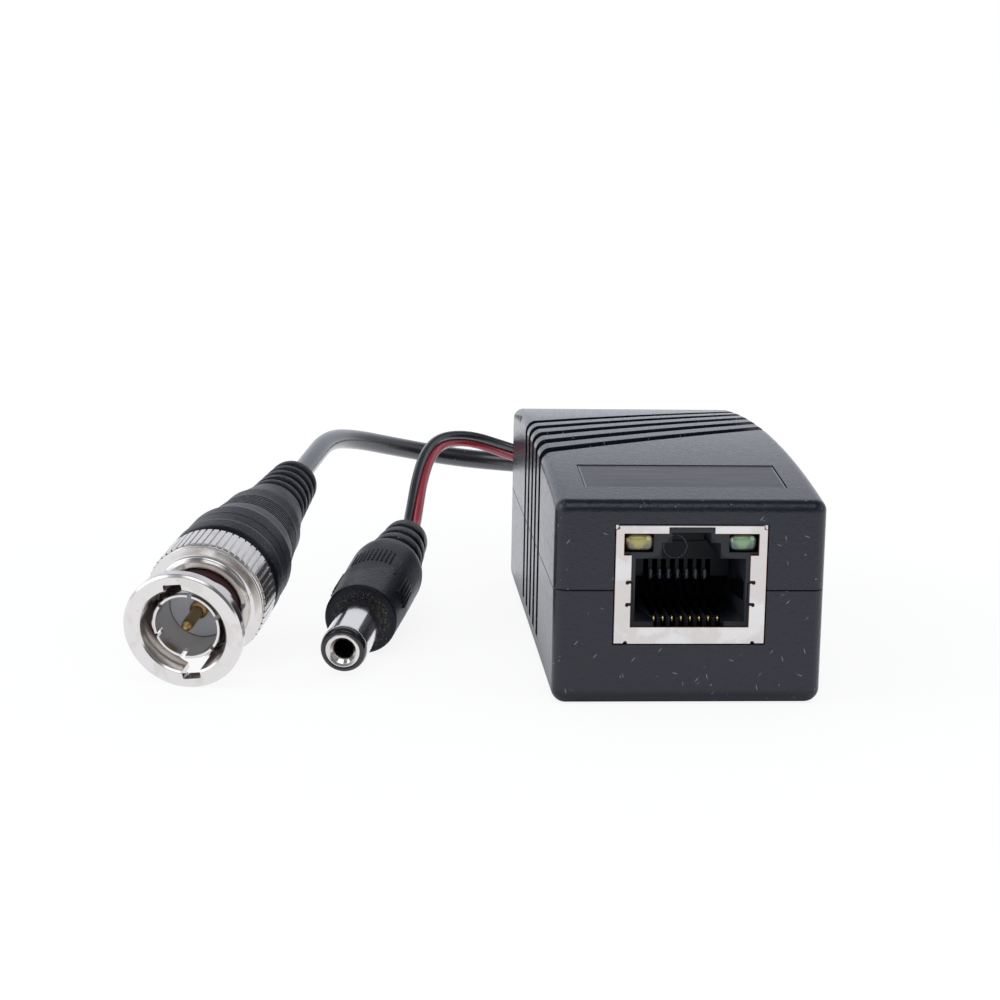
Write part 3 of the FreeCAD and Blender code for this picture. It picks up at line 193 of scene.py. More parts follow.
lead("coax_cable", "coax_lead", [
    (2.4, 23.5, 13.0), (2.4, 36.8, 13.0), (-1.1, 44.0, 12.9), (-7.4, 48.9, 12.8), (-15.4, 50.9, 12.9),
    (-23.3, 49.9, 13.9), (-30.9, 46.6, 15.8), (-36.8, 41.2, 17.8), (-40.2, 34.2, 18.8),
    (-42.308, 25.84, 17.501), (-44.686, 16.84, 15.607)], 0.0027, black_vinyl)
lead("power_wire_black", "dc_lead_black", [
    (-3.5, 24.0, 13.65), (-3.5, 34.5, 13.65), (-6.0, 39.1, 14.2), (-10.3, 41.7, 15.3),
    (-15.0, 42.8, 16.6), (-20.2, 42.5, 18.3), (-24.6, 40.1, 18.4), (-26.9, 36.1, 16.8),
    (-28.2, 31.4, 13.9), (-29.0, 26.7, 10.7), (-29.678, 22.863, 8.345), (-30.4, 19.465, 7.919)],
    0.00124, black_vinyl)
lead("power_wire_red", "dc_lead_red", [
    (-3.5, 24.0, 12.35), (-3.5, 34.5, 12.35), (-6.2, 39.25, 12.92), (-10.6, 41.7, 14.04),
    (-15.35, 43.1, 15.5), (-20.2, 43.0, 17.2), (-24.1, 40.6, 17.3), (-25.95, 36.5, 16.0),
    (-27.15, 31.7, 13.5), (-27.85, 26.7, 10.7), (-28.457, 22.593, 8.345), (-29.129, 19.195, 7.919)],
    0.00124, red_vinyl)

# Housing. Two injection-moulded shells in charcoal ABS, spark-eroded to a fine matt grain on every
# outer face. They snap together at a fine groove, and hairs and grains of dust cling to them.
shell = Finish("housing_plastic", "housing_plastic", Specular_IOR_Level=0.5)
grain = shell.noise(5200, 3)
coarse = shell.noise(1500, 2)
mottled = shell.noise(45, 3)
dust = shell.specks(800, 0.3, 0.1)
for turn in (20, 75, -50):
    dust = shell.larger(dust, shell.specks(2300, 0.16, 0.16, length=6, turn=turn))
charcoal = shell.blend(mottled, (0.0065, 0.008, 0.0165), (0.0095, 0.0115, 0.022))
shell.set(Base_Color=shell.blend(dust * 0.55, charcoal, (0.34, 0.35, 0.38)))
shell.set(Roughness=0.14 + 0.12 * coarse + 0.3 * dust)
shell.bump(grain * 0.5 + coarse * 0.5, 0.62, 0.00012, edge=0.00016)
shell.on(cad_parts["housing_lid"])
shell.on(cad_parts["housing_tray"])

# Label. A thin plate of dark violet-grey film, glued down in a shallow recess of the lid and left
# bare. Its colour turns pale in a thin, ragged band along the edge.
film = Finish("label_film", "label_film", Coat_Weight=0.3, Coat_Roughness=0.2)
cloud = film.noise(120, 3)
scuffs = film.noise(900, 4, stretch=(0.12, 1.0, 1.0))
tint = film.blend(cloud, (0.012, 0.0105, 0.018), (0.019, 0.0165, 0.026))
LABEL_MIDDLE = (0.0, -0.0218, 0.0)
LABEL_HALF_SIZE = (0.01113, 0.00428, 0.0)
inward = film.add("VectorMath", 0, {"operation": "SUBTRACT"}, {0: film.place, 1: LABEL_MIDDLE})
inward = film.add("VectorMath", 0, {"operation": "ABSOLUTE"}, {0: inward})
inward = film.add("VectorMath", 0, {"operation": "SUBTRACT"}, {0: inward, 1: LABEL_HALF_SIZE})
ragged = film.noise(1700, 3) * 0.00016 - 0.00008
past_ends = film.add("SeparateXYZ", 0, {}, {"Vector": inward})
past_sides = film.add("SeparateXYZ", 1, {}, {"Vector": inward})
border = film.larger(past_ends, past_sides)
pale_border = film.limits(border + ragged, -0.00007, 0.00001)
film.set(Base_Color=film.blend(pale_border * 0.6, tint, (0.32, 0.33, 0.37)))
film.set(Roughness=0.36 + 0.2 * scuffs)
film.bump(scuffs, 0.1, 0.00005)
film.on(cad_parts["label_plate"])

# Parts inside the housing. A laminate board carries a wound ferrite ring, a surge suppressor, a
# resettable fuse and a disc capacitor. Two nylon ties hold the leads against a pull.
laminate = Finish("board_laminate", "board_laminate", Coat_Weight=0.4)
weave = laminate.add("TexChecker", "Fac", {}, {"Vector": laminate.place, "Scale": 2500})
mottle = laminate.noise(300) * 0.6 + weave * 0.2
laminate.set(Base_Color=laminate.blend(mottle, (0.01, 0.09, 0.035), (0.02, 0.13, 0.05)))
laminate.set(Roughness=0.35 + 0.1 * weave)
laminate.on(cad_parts["circuit_board"])


def inner_finish(name, low, high, roughness, scale, *nodes, metallic=0.0, edge=None):
    finish = Finish(name, name, Metallic=metallic)
    cloudy = finish.noise(scale, 3)
    finish.set(Base_Color=finish.blend(cloudy, low, high), Roughness=roughness + 0.15 * cloudy)
    finish.bump(finish.noise(scale * 6, 2), 0.2, 0.00005, edge)
    for node in nodes:
        finish.on(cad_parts[node])
    return finish


inner_finish("ferrite", (0.02, 0.02, 0.02), (0.045, 0.042, 0.04), 0.6, 900, "transformer_core")
inner_finish("enamelled_copper", (0.45, 0.13, 0.05), (0.6, 0.22, 0.08), 0.25, 700, "transformer_winding",
             metallic=1.0)
inner_finish("lacquer_yellow", (0.6, 0.33, 0.02), (0.75, 0.45, 0.05), 0.25, 400, "resettable_fuse")
inner_finish("lacquer_blue", (0.02, 0.06, 0.28), (0.03, 0.10, 0.38), 0.25, 400, "ceramic_capacitor")
inner_finish("tie_nylon", (0.55, 0.55, 0.52), (0.7, 0.7, 0.66), 0.45, 500, "coax_tie", "dc_tie")
black_moulding = inner_finish("jack_plastic", (0.006, 0.0068, 0.0095), (0.0095, 0.0105, 0.014), 0.36, 700,
                              "transformer_base", "surge_suppressor", edge=0.00012)

# Jack shield. One sheet of bright nickel-plated brass, folded into a box round the moulded body.
# Its face is stamped with the mouth, two slits a side that free a spring finger, and fold reliefs.
FACE_Y, SHIELD_LOW, SHIELD_HIGH, SHIELD_SIDE = -31.5, 7.0, 20.27, 8.36
SHEET, SHIELD_DEPTH = 0.25, 18.3
MOUTH_SIDE, MOUTH_LOW = 6.55, 8.88
FINGER_MIDDLE = 12.68


def solid(name, shape):
    data = bpy.data.meshes.new(name)
    shape.to_mesh(data)
    shape.free()
    piece = bpy.data.objects.new(name, data)
    bpy.context.collection.objects.link(piece)
    return piece


def baked(piece):
    """Turns live modifiers into the piece's own plain mesh."""
    data = bpy.data.meshes.new_from_object(piece.evaluated_get(bpy.context.evaluated_depsgraph_get()))
    piece.modifiers.clear()
    piece.data = data
    return piece


def joined(piece, *others):
    shape = bmesh.new()
    shape.from_mesh(piece.data)
    for other in others:
        shape.from_mesh(other.data)
        bpy.data.objects.remove(other)
    shape.to_mesh(piece.data)
    shape.free()
    return piece


def cut(piece, *cutters):
    for cutter in cutters:
        modifier = piece.modifiers.new("cut", "BOOLEAN")
        modifier.operation = "DIFFERENCE"
        modifier.solver = "EXACT"
        modifier.object = cutter
    baked(piece)
    for cutter in cutters:
        bpy.data.objects.remove(cutter)
    return piece


def finished(piece, finish, body, *nodes, place=None, sharp=35):
    """Moves a piece made in millimetres to its place, and gives it its finish and its body."""
    piece.data.transform(place or Matrix.Scale(0.001, 4))
    piece.data.shade_smooth()
    piece.data.set_sharp_from_angle(angle=math.radians(sharp))
    finish.on(piece)
    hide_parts(*nodes)
    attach(piece, body)
    return piece


def plate(name, outlines, front, thickness):
    """A flat stamped sheet facing the front: the first outline is its rim, the others are holes."""
    curve = bpy.data.curves.new(name, "CURVE")
    curve.dimensions = "2D"
    curve.fill_mode = "BOTH"
    for outline in outlines:
        spline = curve.splines.new("POLY")
        spline.points.add(len(outline) - 1)
        for point, (across, high) in zip(spline.points, outline):
            point.co = (across, high, 0, 1)
        spline.use_cyclic_u = True
    curve.extrude = thickness / 2
    drawn = bpy.data.objects.new(name, curve)
    bpy.context.collection.objects.link(drawn)
    data = bpy.data.meshes.new_from_object(drawn.evaluated_get(bpy.context.evaluated_depsgraph_get()))
    bpy.data.objects.remove(drawn)
    shape = bmesh.new()
    shape.from_mesh(data)
    bmesh.ops.remove_doubles(shape, verts=shape.verts, dist=1e-4)
    upright = Matrix.Translation((0, front + thickness / 2, 0)) @ Matrix.Rotation(math.pi / 2, 4, "X")
    bmesh.ops.transform(shape, matrix=upright, verts=shape.verts)
    bmesh.ops.recalc_face_normals(shape, faces=shape.faces)
    return solid(name, shape)


def block(name, low, high):
    shape = bmesh.new()
    bmesh.ops.create_cube(shape, size=1)
    for corner in shape.verts:
        for axis in range(3):
            corner.co[axis] = high[axis] if corner.co[axis] > 0 else low[axis]
    return solid(name, shape)


def bevelled(piece, width, segments):
    modifier = piece.modifiers.new("bevel", "BEVEL")
    modifier.width = width
    modifier.segments = segments
    modifier.limit_method = "ANGLE"
    modifier.angle_limit = math.radians(40)
    return baked(piece)


def arc(across, high, radius, start, finish, steps=6):
    """Points on an arc round a centre, between two angles in degrees."""
    angles = [math.radians(start + (finish - start) * step / steps) for step in range(steps + 1)]
    return [(across + radius * math.cos(angle), high + radius * math.sin(angle)) for angle in angles]


def mirrored(outline):
    return [(-across, high) for across, high in reversed(outline)]


nickel = Finish("nickel_sheet", "nickel_sheet", Metallic=1.0)
stain = nickel.limits(nickel.noise(230, 4), 0.47, 0.56)
drawn_lines = nickel.noise(1400, 3, stretch=(0.08, 1.0, 1.0))
pits = nickel.specks(1500, 0.05, 0.16)
bright = nickel.blend(stain, (0.68, 0.635, 0.605), (0.785, 0.765, 0.745))
nickel.set(Base_Color=nickel.blend(pits * 0.5, bright, (0.25, 0.21, 0.19)))
nickel.set(Roughness=0.17 + 0.1 * drawn_lines + 0.06 * stain)
nickel.bump(drawn_lines, 0.12, 0.00003)

copper = Finish("cut_copper_edge", "nickel_sheet", Metallic=1.0)
copper.set(Base_Color=copper.blend(copper.noise(1200, 3), (0.30, 0.13, 0.075), (0.50, 0.27, 0.17)),
           Roughness=0.45)

half_rim = ([(0, SHIELD_LOW), (SHIELD_SIDE - 1.5, SHIELD_LOW)]
            + arc(SHIELD_SIDE - 1.3, SHIELD_LOW + 0.06, 0.2, 180, 0)
            + [(SHIELD_SIDE - 1.1, SHIELD_LOW), (SHIELD_SIDE, SHIELD_LOW), (SHIELD_SIDE, SHIELD_HIGH - 0.5)]
            + arc(SHIELD_SIDE - 0.22, SHIELD_HIGH - 0.28, 0.18, -90, -270)
            + [(SHIELD_SIDE - 0.5, SHIELD_HIGH), (0, SHIELD_HIGH)])
half_mouth = [(0, MOUTH_LOW), (MOUTH_SIDE, MOUTH_LOW)]
for slit in (11.43, 13.93):
    half_mouth += [(MOUTH_SIDE, slit - 0.12)]
    half_mouth += arc(MOUTH_SIDE + 0.42, slit - 0.05, 0.19, -158, 68, 9)
    half_mouth += [(MOUTH_SIDE, slit + 0.13)]
half_mouth += [(MOUTH_SIDE, 16.95), (7.41, 16.95), (7.41, 19.32), (2.5, 19.32), (2.5, 20.08), (0, 20.08)]
rim = half_rim + mirrored(half_rim)[1:-1]
mouth = half_mouth + mirrored(half_mouth)[1:-1]
face = plate("jack_shield_sheet", [rim, mouth], FACE_Y, SHEET)
inside = (SHIELD_SIDE - SHEET, SHIELD_LOW - 1, SHIELD_HIGH - SHEET)
folded_box = cut(block("shield_box", (-SHIELD_SIDE, FACE_Y + SHEET, SHIELD_LOW),
                       (SHIELD_SIDE, FACE_Y + SHIELD_DEPTH, SHIELD_HIGH)),
                 block("shield_hollow", (-inside[0], FACE_Y - 1, inside[1]),
                       (inside[0], FACE_Y + SHIELD_DEPTH - SHEET, inside[2])))
fingers = []
for side in (-1, 1):
    line = [(6.6, -31.38), (6.46, -31.42), (6.36, -31.1), (6.2, -30.3), (5.6, -28.4), (5.1, -27.1),
            (5.4, -26.1)]
    widths = [1.1, 1.1, 1.1, 1.08, 0.95, 0.7, 0.55]
    strip = bmesh.new()
    rows = []
    for (across, along), wide in zip(line, widths):
        rows.append([strip.verts.new((across * side, along, FINGER_MIDDLE + wide * end)) for end in (-1, 1)])
    for row, after in zip(rows, rows[1:]):
        strip.faces.new((row[0], row[1], after[1], after[0]))
    finger = solid("finger", strip)
    rounding = finger.modifiers.new("smooth", "SUBSURF")
    rounding.levels = rounding.render_levels = 2
    thick = finger.modifiers.new("sheet", "SOLIDIFY")
    thick.thickness = 0.15
    thick.offset = 0
    fingers.append(baked(finger))
bevelled(face, 0.05, 2)
cut_sides = [abs(side.normal.y) < 0.95 for side in face.data.polygons]
shield = finished(joined(face, folded_box), nickel, "balun", "jack_shield", sharp=15)
shield.data.materials.append(copper.material)
for side, is_cut in zip(shield.data.polygons, cut_sides):
    side.material_index = int(is_cut)

# Painted shade: the spring fingers are the same nickel sheet, but coloured near black to stand for the shade
# inside the mouth.
finger_painted_shade = Finish("spring_finger_painted_shade", "nickel_sheet", Metallic=1.0)
finger_painted_shade.set(Base_Color=finger_painted_shade.blend(finger_painted_shade.noise(900, 3), (0.03, 0.032, 0.038), (0.055, 0.058, 0.066)),
           Roughness=0.42)
finished(joined(*fingers), finger_painted_shade, "balun")

# Springs of the jack. Eight round gold-plated phosphor-bronze wires. They are coloured gold only in a
# narrow band of height at their noses, a painted glint, and near black elsewhere, as painted shade.
# Each runs along the floor of the body, turns up at the mouth and leans back to the comb.
spring_bronze = Finish("contact_bronze", "gold_plated_brass", Metallic=1.0)
tarnish = spring_bronze.noise(800, 3)
height = spring_bronze.add("SeparateXYZ", 2, {}, {"Vector": spring_bronze.place})
# Painted shade and glint: the wire is near black outside a narrow band of height at the noses, where its gold
# colour stands for the glint it catches.
lit_nose_band = spring_bronze.limits(height, 0.00885, 0.00905) * spring_bronze.limits(height, 0.00955, 0.00938)
plating = spring_bronze.blend(tarnish, (0.78, 0.50, 0.22), (0.95, 0.68, 0.36))
spring_bronze.set(Base_Color=spring_bronze.blend(lit_nose_band, (0.05, 0.047, 0.045), plating))
spring_bronze.set(Roughness=0.2 + 0.15 * tarnish)
PITCH, TRENCH_FLOOR, WIRE = 1.02, 8.42, 0.2


def bent_wire(name, run, radius):
    """A round wire that follows its run of points in one smooth line."""
    curve = bpy.data.curves.new(name, "CURVE")
    curve.dimensions = "3D"
    line = curve.splines.new("NURBS")
    line.points.add(len(run) - 1)
    for point, place in zip(line.points, run):
        point.co = (*place, 1)
    line.order_u = 3
    line.use_endpoint_u = True
    line.resolution_u = 8
    curve.bevel_depth = radius
    curve.bevel_resolution = 3
    curve.use_fill_caps = True
    drawn = bpy.data.objects.new(name, curve)
    bpy.context.collection.objects.link(drawn)
    data = bpy.data.meshes.new_from_object(drawn.evaluated_get(bpy.context.evaluated_depsgraph_get()))
    bpy.data.objects.remove(drawn)
    shape = bmesh.new()
    shape.from_mesh(data)
    bmesh.ops.remove_doubles(shape, verts=shape.verts, dist=1e-4)
    bmesh.ops.recalc_face_normals(shape, faces=shape.faces)
    return solid(name, shape)


for number in range(1, 9):
    across = PITCH * (number - 4.5)
    tail = -16.6 - 2.2 * ((number - 1) % 2)
    run = [(tail, 4.85), (tail, 7.5), (tail, TRENCH_FLOOR), (tail - 0.9, TRENCH_FLOOR), (-27.9, TRENCH_FLOOR),
           (-28.66, 8.36), (-28.62, 9.0), (-28.4, 9.3), (-27.6, 9.62), (-19.7, 13.6)]
    blade = bent_wire(f"contact_spring_{number}", [(across, *place) for place in run], WIRE)
    finished(blade, spring_bronze, "balun", f"jack_contact_{number}")


def copying_tree():
    """Copies of a shape, each one a step further along and a turn further round the plug's axis."""
    tree = bpy.data.node_groups.new("copies", "GeometryNodeTree")
    for label, kind in (("Shape", "Geometry"), ("Copies", "Int"), ("Step", "Vector"), ("Turn", "Float"),
                        ("Finish", "Material")):
        tree.interface.new_socket(label, in_out="INPUT", socket_type="NodeSocket" + kind)
    tree.interface.new_socket("Shape", in_out="OUTPUT", socket_type="NodeSocketGeometry")
    given = tree.nodes.new("NodeGroupInput").outputs
    line = tree.nodes.new("GeometryNodeMeshLine")
    spread = tree.nodes.new("GeometryNodeInstanceOnPoints")
    index = tree.nodes.new("GeometryNodeInputIndex")
    angle = tree.nodes.new("ShaderNodeMath")
    angle.operation = "MULTIPLY"
    spin = tree.nodes.new("FunctionNodeAxisAngleToRotation")
    spin.inputs["Axis"].default_value = (0, 0, 1)
    real = tree.nodes.new("GeometryNodeRealizeInstances")
    dress = tree.nodes.new("GeometryNodeSetMaterial")
    result = tree.nodes.new("NodeGroupOutput")
    for source, target in (
            (given["Copies"], line.inputs["Count"]), (given["Step"], line.inputs["Offset"]),
            (line.outputs["Mesh"], spread.inputs["Points"]), (given["Shape"], spread.inputs["Instance"]),
            (index.outputs["Index"], angle.inputs[0]), (given["Turn"], angle.inputs[1]),
            (angle.outputs[0], spin.inputs["Angle"]), (spin.outputs["Rotation"], spread.inputs["Rotation"]),
            (spread.outputs["Instances"], real.inputs["Geometry"]),
            (real.outputs["Geometry"], dress.inputs["Geometry"]), (given["Finish"], dress.inputs["Material"]),
            (dress.outputs["Geometry"], result.inputs["Shape"])):
        tree.links.new(source, target)
    return tree


COPIES = copying_tree()


def copied(piece, finish, copies, step=(0, 0, 0), turn=0.0):
    modifier = piece.modifiers.new("copies", "NODES")
    modifier.node_group = COPIES
    given = {"Copies": copies, "Step": step, "Turn": math.radians(turn), "Finish": finish.material}
    for socket in COPIES.interface.items_tree:
        if socket.in_out == "INPUT" and socket.name in given:
            modifier[socket.identifier] = given[socket.name]
    piece.update_tag()
    return baked(piece)


# Jack body and comb. The body is one black moulding with an open trench below the springs' noses.
# The comb is a second moulding that fills its upper back. It bears the ring of a knock-out pin, and
# its teeth part the springs. The ring and the round tips of the teeth are coloured light grey as painted
# highlights, and the body's inner faces and the comb get less glossy copies of the plastic as painted shade.
# Painted shade: a less glossy copy of the jack plastic, so that the mouth looks dark inside.
cavity_painted_shade = Finish("jack_plastic_painted_shade", "jack_plastic", Specular_IOR_Level=0.14)
dusky = cavity_painted_shade.noise(700, 3)
cavity_painted_shade.set(Base_Color=cavity_painted_shade.blend(dusky, (0.008, 0.0095, 0.014), (0.012, 0.014, 0.02)), Roughness=0.5)
moulding = bmesh.new()
moulding.from_mesh(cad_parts["jack_body"].data)
bmesh.ops.remove_doubles(moulding, verts=moulding.verts, dist=1e-6)
bmesh.ops.scale(moulding, vec=(1000, 1000, 1000), verts=moulding.verts)
jack_moulding = solid("jack_moulding", moulding)
trench = block("trench", (-3.95, -32, 8.3), (3.85, -29.2, 9.6))
jack_moulding = finished(cut(jack_moulding, trench), black_moulding, "balun", "jack_body", sharp=30)
jack_moulding.data.materials.append(cavity_painted_shade.material)
# Painted shade: every face except the front-facing faces at the lips takes the less glossy copy.
for side in jack_moulding.data.polygons:
    side.material_index = int(abs(side.normal.y) < 0.9 or side.center.y > -0.0305)

# Painted highlight: the round tips of the comb's teeth and the knock-out ring are coloured light grey,
# standing for the light they catch.
comb_highlight_paint = Finish("comb_painted_highlight", "jack_plastic", Coat_Weight=0.5)
comb_highlight_paint.set(Base_Color=comb_highlight_paint.blend(comb_highlight_paint.noise(900), (0.13, 0.15, 0.18), (0.22, 0.25, 0.3)),
             Roughness=0.3)
COMB_FRONT, COMB_BACK = -21.2, -18.62
KNOCK_OUT_RADIUS = 1.38
comb = block("comb_moulding", (-6.0, COMB_FRONT, 12.32), (6.0, COMB_BACK, 16.5))
upper_wall = block("comb_wall", (-3.1, COMB_FRONT, 16.4), (3.05, COMB_BACK, 18.2))
latch_wall = block("latch_wall", (-2.05, COMB_FRONT, 18.1), (2.05, COMB_BACK, 19.35))
slot = copied(block("slot", (-0.3, COMB_FRONT - 1, 12), (0.3, COMB_BACK + 1, 14.3)), cavity_painted_shade, 8,
              step=(PITCH, 0, 0))
slot.data.transform(Matrix.Translation((-3.5 * PITCH, 0, 0)))
tooth_tip = bmesh.new()
bmesh.ops.create_uvsphere(tooth_tip, u_segments=14, v_segments=8, radius=0.21)
for corner in tooth_tip.verts:
    corner.co.z += 0.42 if corner.co.z > 0 else -0.42
cut(comb, slot)
circle = [(across, COMB_FRONT, high) for across, high in arc(0, 0, KNOCK_OUT_RADIUS, 0, 360, 12)]
knock_out = bent_wire("knock_out", circle, 0.07)
knock_out.data.transform(Matrix.Translation((-0.25, 0, 15.75)))
# Painted shade: the comb gets its own less glossy copy of the jack plastic, which sets how dark it looks deep
# in the mouth.
comb_plastic_painted_shade = Finish("comb_plastic_painted_shade", "jack_plastic", Specular_IOR_Level=0.25)
dull = comb_plastic_painted_shade.noise(700, 3)
comb_plastic_painted_shade.set(Base_Color=comb_plastic_painted_shade.blend(dull, (0.006, 0.0072, 0.0115), (0.01, 0.0115, 0.017)),
                 Roughness=0.42)
finished(joined(comb, upper_wall, latch_wall), comb_plastic_painted_shade, "balun", "contact_comb")
finished(knock_out, comb_highlight_paint, "balun")

tips = copied(solid("comb_tooth_tips", tooth_tip), comb_highlight_paint, 7, step=(1.035, 0, 0))
finished(tips, comb_highlight_paint, "balun", place=Matrix.Scale(0.001, 4) @ Matrix.Translation((-3.02, -21.4, 12.6)))

# Lamps. Two rectangular light-emitting diodes moulded in tinted epoxy, yellow on the left and green
# on the right. Their domed fronts sit just behind the shield's windows, with the chip's cup inside.
LENS_ACROSS, LENS_FRONT, LENS_HIGH = 5.72, -31.2, 18.3
LENS_HALF_WIDE, LENS_HALF_TALL, DOME = 1.54, 0.98, 0.28
LEG_ACROSS, LEG_APART, LEG_HALF_WIDE = 5.78, 0.635, 0.22


def lamp(name, node, slot, side, shade, grey, body, core, highlight_paint):
    lens = Finish(slot, slot, Coat_Weight=0.9, Coat_Roughness=0.06, IOR=1.5)
    middle = (0.001 * LENS_ACROSS * side, 0.001 * FACE_Y, 0.001 * LENS_HIGH)
    off = lens.add("VectorMath", 0, {"operation": "SUBTRACT"}, {0: lens.place, 1: middle})

    def spot(across, high, wide, tall, inner=0.55):
        """1 inside an oval on the lens face, placed in millimetres from its middle."""
        moved = lens.add("VectorMath", 0, {"operation": "SUBTRACT"}, {
            0: off, 1: (0.001 * across, 0.0, 0.001 * high)})
        scaled = lens.add("VectorMath", 0, {"operation": "MULTIPLY"}, {
            0: moved, 1: (1000.0 / wide, 0.0, 1000.0 / tall)})
        return lens.limits(lens.add("VectorMath", "Value", {"operation": "LENGTH"}, {0: scaled}), 1.0, inner)

    # The lens colour paints light and shade: a brighter core and a lower spot as painted light, a darker rim
    # as painted shade, two pale spots as painted highlights, and a greyer lower part.
    clouded = lens.noise(1100, 3)
    upper = lens.limits(lens.add("SeparateXYZ", 2, {}, {"Vector": off}), -0.00035, 0.0001)
    clear = lens.blend(upper, grey, body)
    lit = lens.blend(spot(-0.1, 0.22, 1.0, 0.75) * (0.75 + 0.25 * clouded), clear, core)
    lit = lens.blend(spot(-0.15, -0.3, 0.7, 0.55) * 0.6, lit, core)
    edged = lens.blend(spot(0.0, 0.02, 1.62, 1.1, 0.84), shade, lit)
    painted_highlights = lens.larger(spot(0.95, 0.5, 0.34, 0.3), spot(-1.32, 0.28, 0.2, 0.3))
    lens.set(Base_Color=lens.blend(painted_highlights * 0.75, edged, highlight_paint), Roughness=0.14 + 0.12 * clouded)
    lens.bump(clouded, 0.3, 0.00012)
    low = (LENS_ACROSS * side - LENS_HALF_WIDE, LENS_FRONT, LENS_HIGH - LENS_HALF_TALL)
    high_corner = (LENS_ACROSS * side + LENS_HALF_WIDE, -23.0, LENS_HIGH + LENS_HALF_TALL)
    bulb = bevelled(block(name, low, high_corner), 0.62, 8)
    for corner in bulb.data.vertices:
        if corner.co.y < LENS_FRONT + 0.6:
            across = (corner.co.x - LENS_ACROSS * side) / LENS_HALF_WIDE
            tall = (corner.co.z - LENS_HIGH) / LENS_HALF_TALL
            corner.co.y -= DOME * max(0.0, 1 - across * across) * max(0.0, 1 - tall * tall)
    legs = []
    feet = []
    for shift in (-LEG_APART, LEG_APART):
        left = LEG_ACROSS * side + shift - LEG_HALF_WIDE
        right = LEG_ACROSS * side + shift + LEG_HALF_WIDE
        legs.append(block("leg", (left, -23.2, 18.03), (right, -14.2, 18.47)))
        feet.append(block("foot", (left, -14.65, 7.2), (right, -14.2, 18.2)))
    finished(joined(bulb, *legs, *feet), lens, "balun", node)


lamp("lamp_lens_yellow", "lamp_yellow", "lens_yellow", -1,
     shade=(0.05, 0.045, 0.012), grey=(0.15, 0.145, 0.105), body=(0.28, 0.25, 0.09),
     core=(0.42, 0.37, 0.10), highlight_paint=(0.72, 0.66, 0.42))
lamp("lamp_lens_green", "lamp_green", "lens_green", 1,
     shade=(0.012, 0.03, 0.02), grey=(0.07, 0.105, 0.09), body=(0.13, 0.22, 0.14),
     core=(0.22, 0.37, 0.19), highlight_paint=(0.42, 0.58, 0.42))

# Video plug, coupling nut. Turned from brass and nickel-plated: a flat rim, two bayonet windows in
# the neck behind it, a coved shoulder and a straight-knurled grip. It turns freely on the body.
def plug_place(nose, heading, tilt):
    """A plug's own Z runs from its nose to its lead, its X to the right and its Y down."""
    heading, tilt = math.radians(heading), math.radians(tilt)
    axis = Vector((math.sin(heading) * math.cos(tilt), math.cos(heading) * math.cos(tilt), math.sin(tilt)))
    side = Vector((math.cos(heading), -math.sin(heading), 0))
    lie = Matrix((side, axis.cross(side), axis)).transposed().to_4x4()
    return Matrix.Translation(0.001 * Vector(nose)) @ lie @ Matrix.Scale(0.001, 4)


def softened(outline):
    """Rounds each corner that has a rounding as its third number."""
    line = []
    for place, (radius, back, *rounding) in enumerate(outline):
        corner = Vector((radius, back))
        if not rounding:
            line.append(corner)
            continue
        arriving = corner - Vector(outline[place - 1][:2])
        leaving = Vector(outline[(place + 1) % len(outline)][:2]) - corner
        reach = min(rounding[0], 0.45 * arriving.length, 0.45 * leaving.length)
        start = corner - arriving.normalized() * reach
        finish = corner + leaving.normalized() * reach
        line.append(start - arriving.normalized() * min(0.02, 0.1 * reach))
        for step in range(7):
            share = step / 6
            line.append((1 - share) ** 2 * start + 2 * share * (1 - share) * corner + share ** 2 * finish)
        line.append(finish + leaving.normalized() * min(0.02, 0.1 * reach))
    return line


def turned(name, outline, around=144):
    """A turned or moulded round piece: its closed outline of (radius, distance back), spun round."""
    shape = bmesh.new()
    rings = []
    for corner in softened(outline):
        if corner.x < 1e-6:
            rings.append([shape.verts.new((0, 0, corner.y))] * around)
        else:
            rings.append([shape.verts.new((corner.x * math.cos(angle), corner.x * math.sin(angle), corner.y))
                          for angle in (2 * math.pi * step / around for step in range(around))])
    for ring, after in zip(rings, rings[1:] + rings[:1]):
        for step in range(around):
            onward = (step + 1) % around
            corners = dict.fromkeys((ring[step], ring[onward], after[onward], after[step]))
            if len(corners) > 2:
                shape.faces.new(corners)
    bmesh.ops.recalc_face_normals(shape, faces=shape.faces)
    return solid(name, shape)


VIDEO_PLUG = plug_place((-55.825, -25.32, 6.7351), 14.8, 11.5)


def rolled(degrees):
    return VIDEO_PLUG @ Matrix.Rotation(math.radians(degrees), 4, "Z")


plated = Finish("nickel_plated_brass", "nickel_plated_brass", Metallic=1.0)
lathe = plated.noise(900, 2, stretch=(1.0, 0.25, 1.0))
worn = plated.limits(plated.noise(420, 4), 0.5, 0.66)
spots = plated.specks(1300, 0.07, 0.14)
metal = plated.blend(worn, (0.76, 0.73, 0.70), (0.705, 0.67, 0.635))
plated.set(Base_Color=plated.blend(spots * 0.6, metal, (0.2, 0.17, 0.15)))
plated.set(Roughness=0.12 + 0.1 * lathe + 0.05 * worn)
plated.bump(lathe, 0.1, 0.00003)

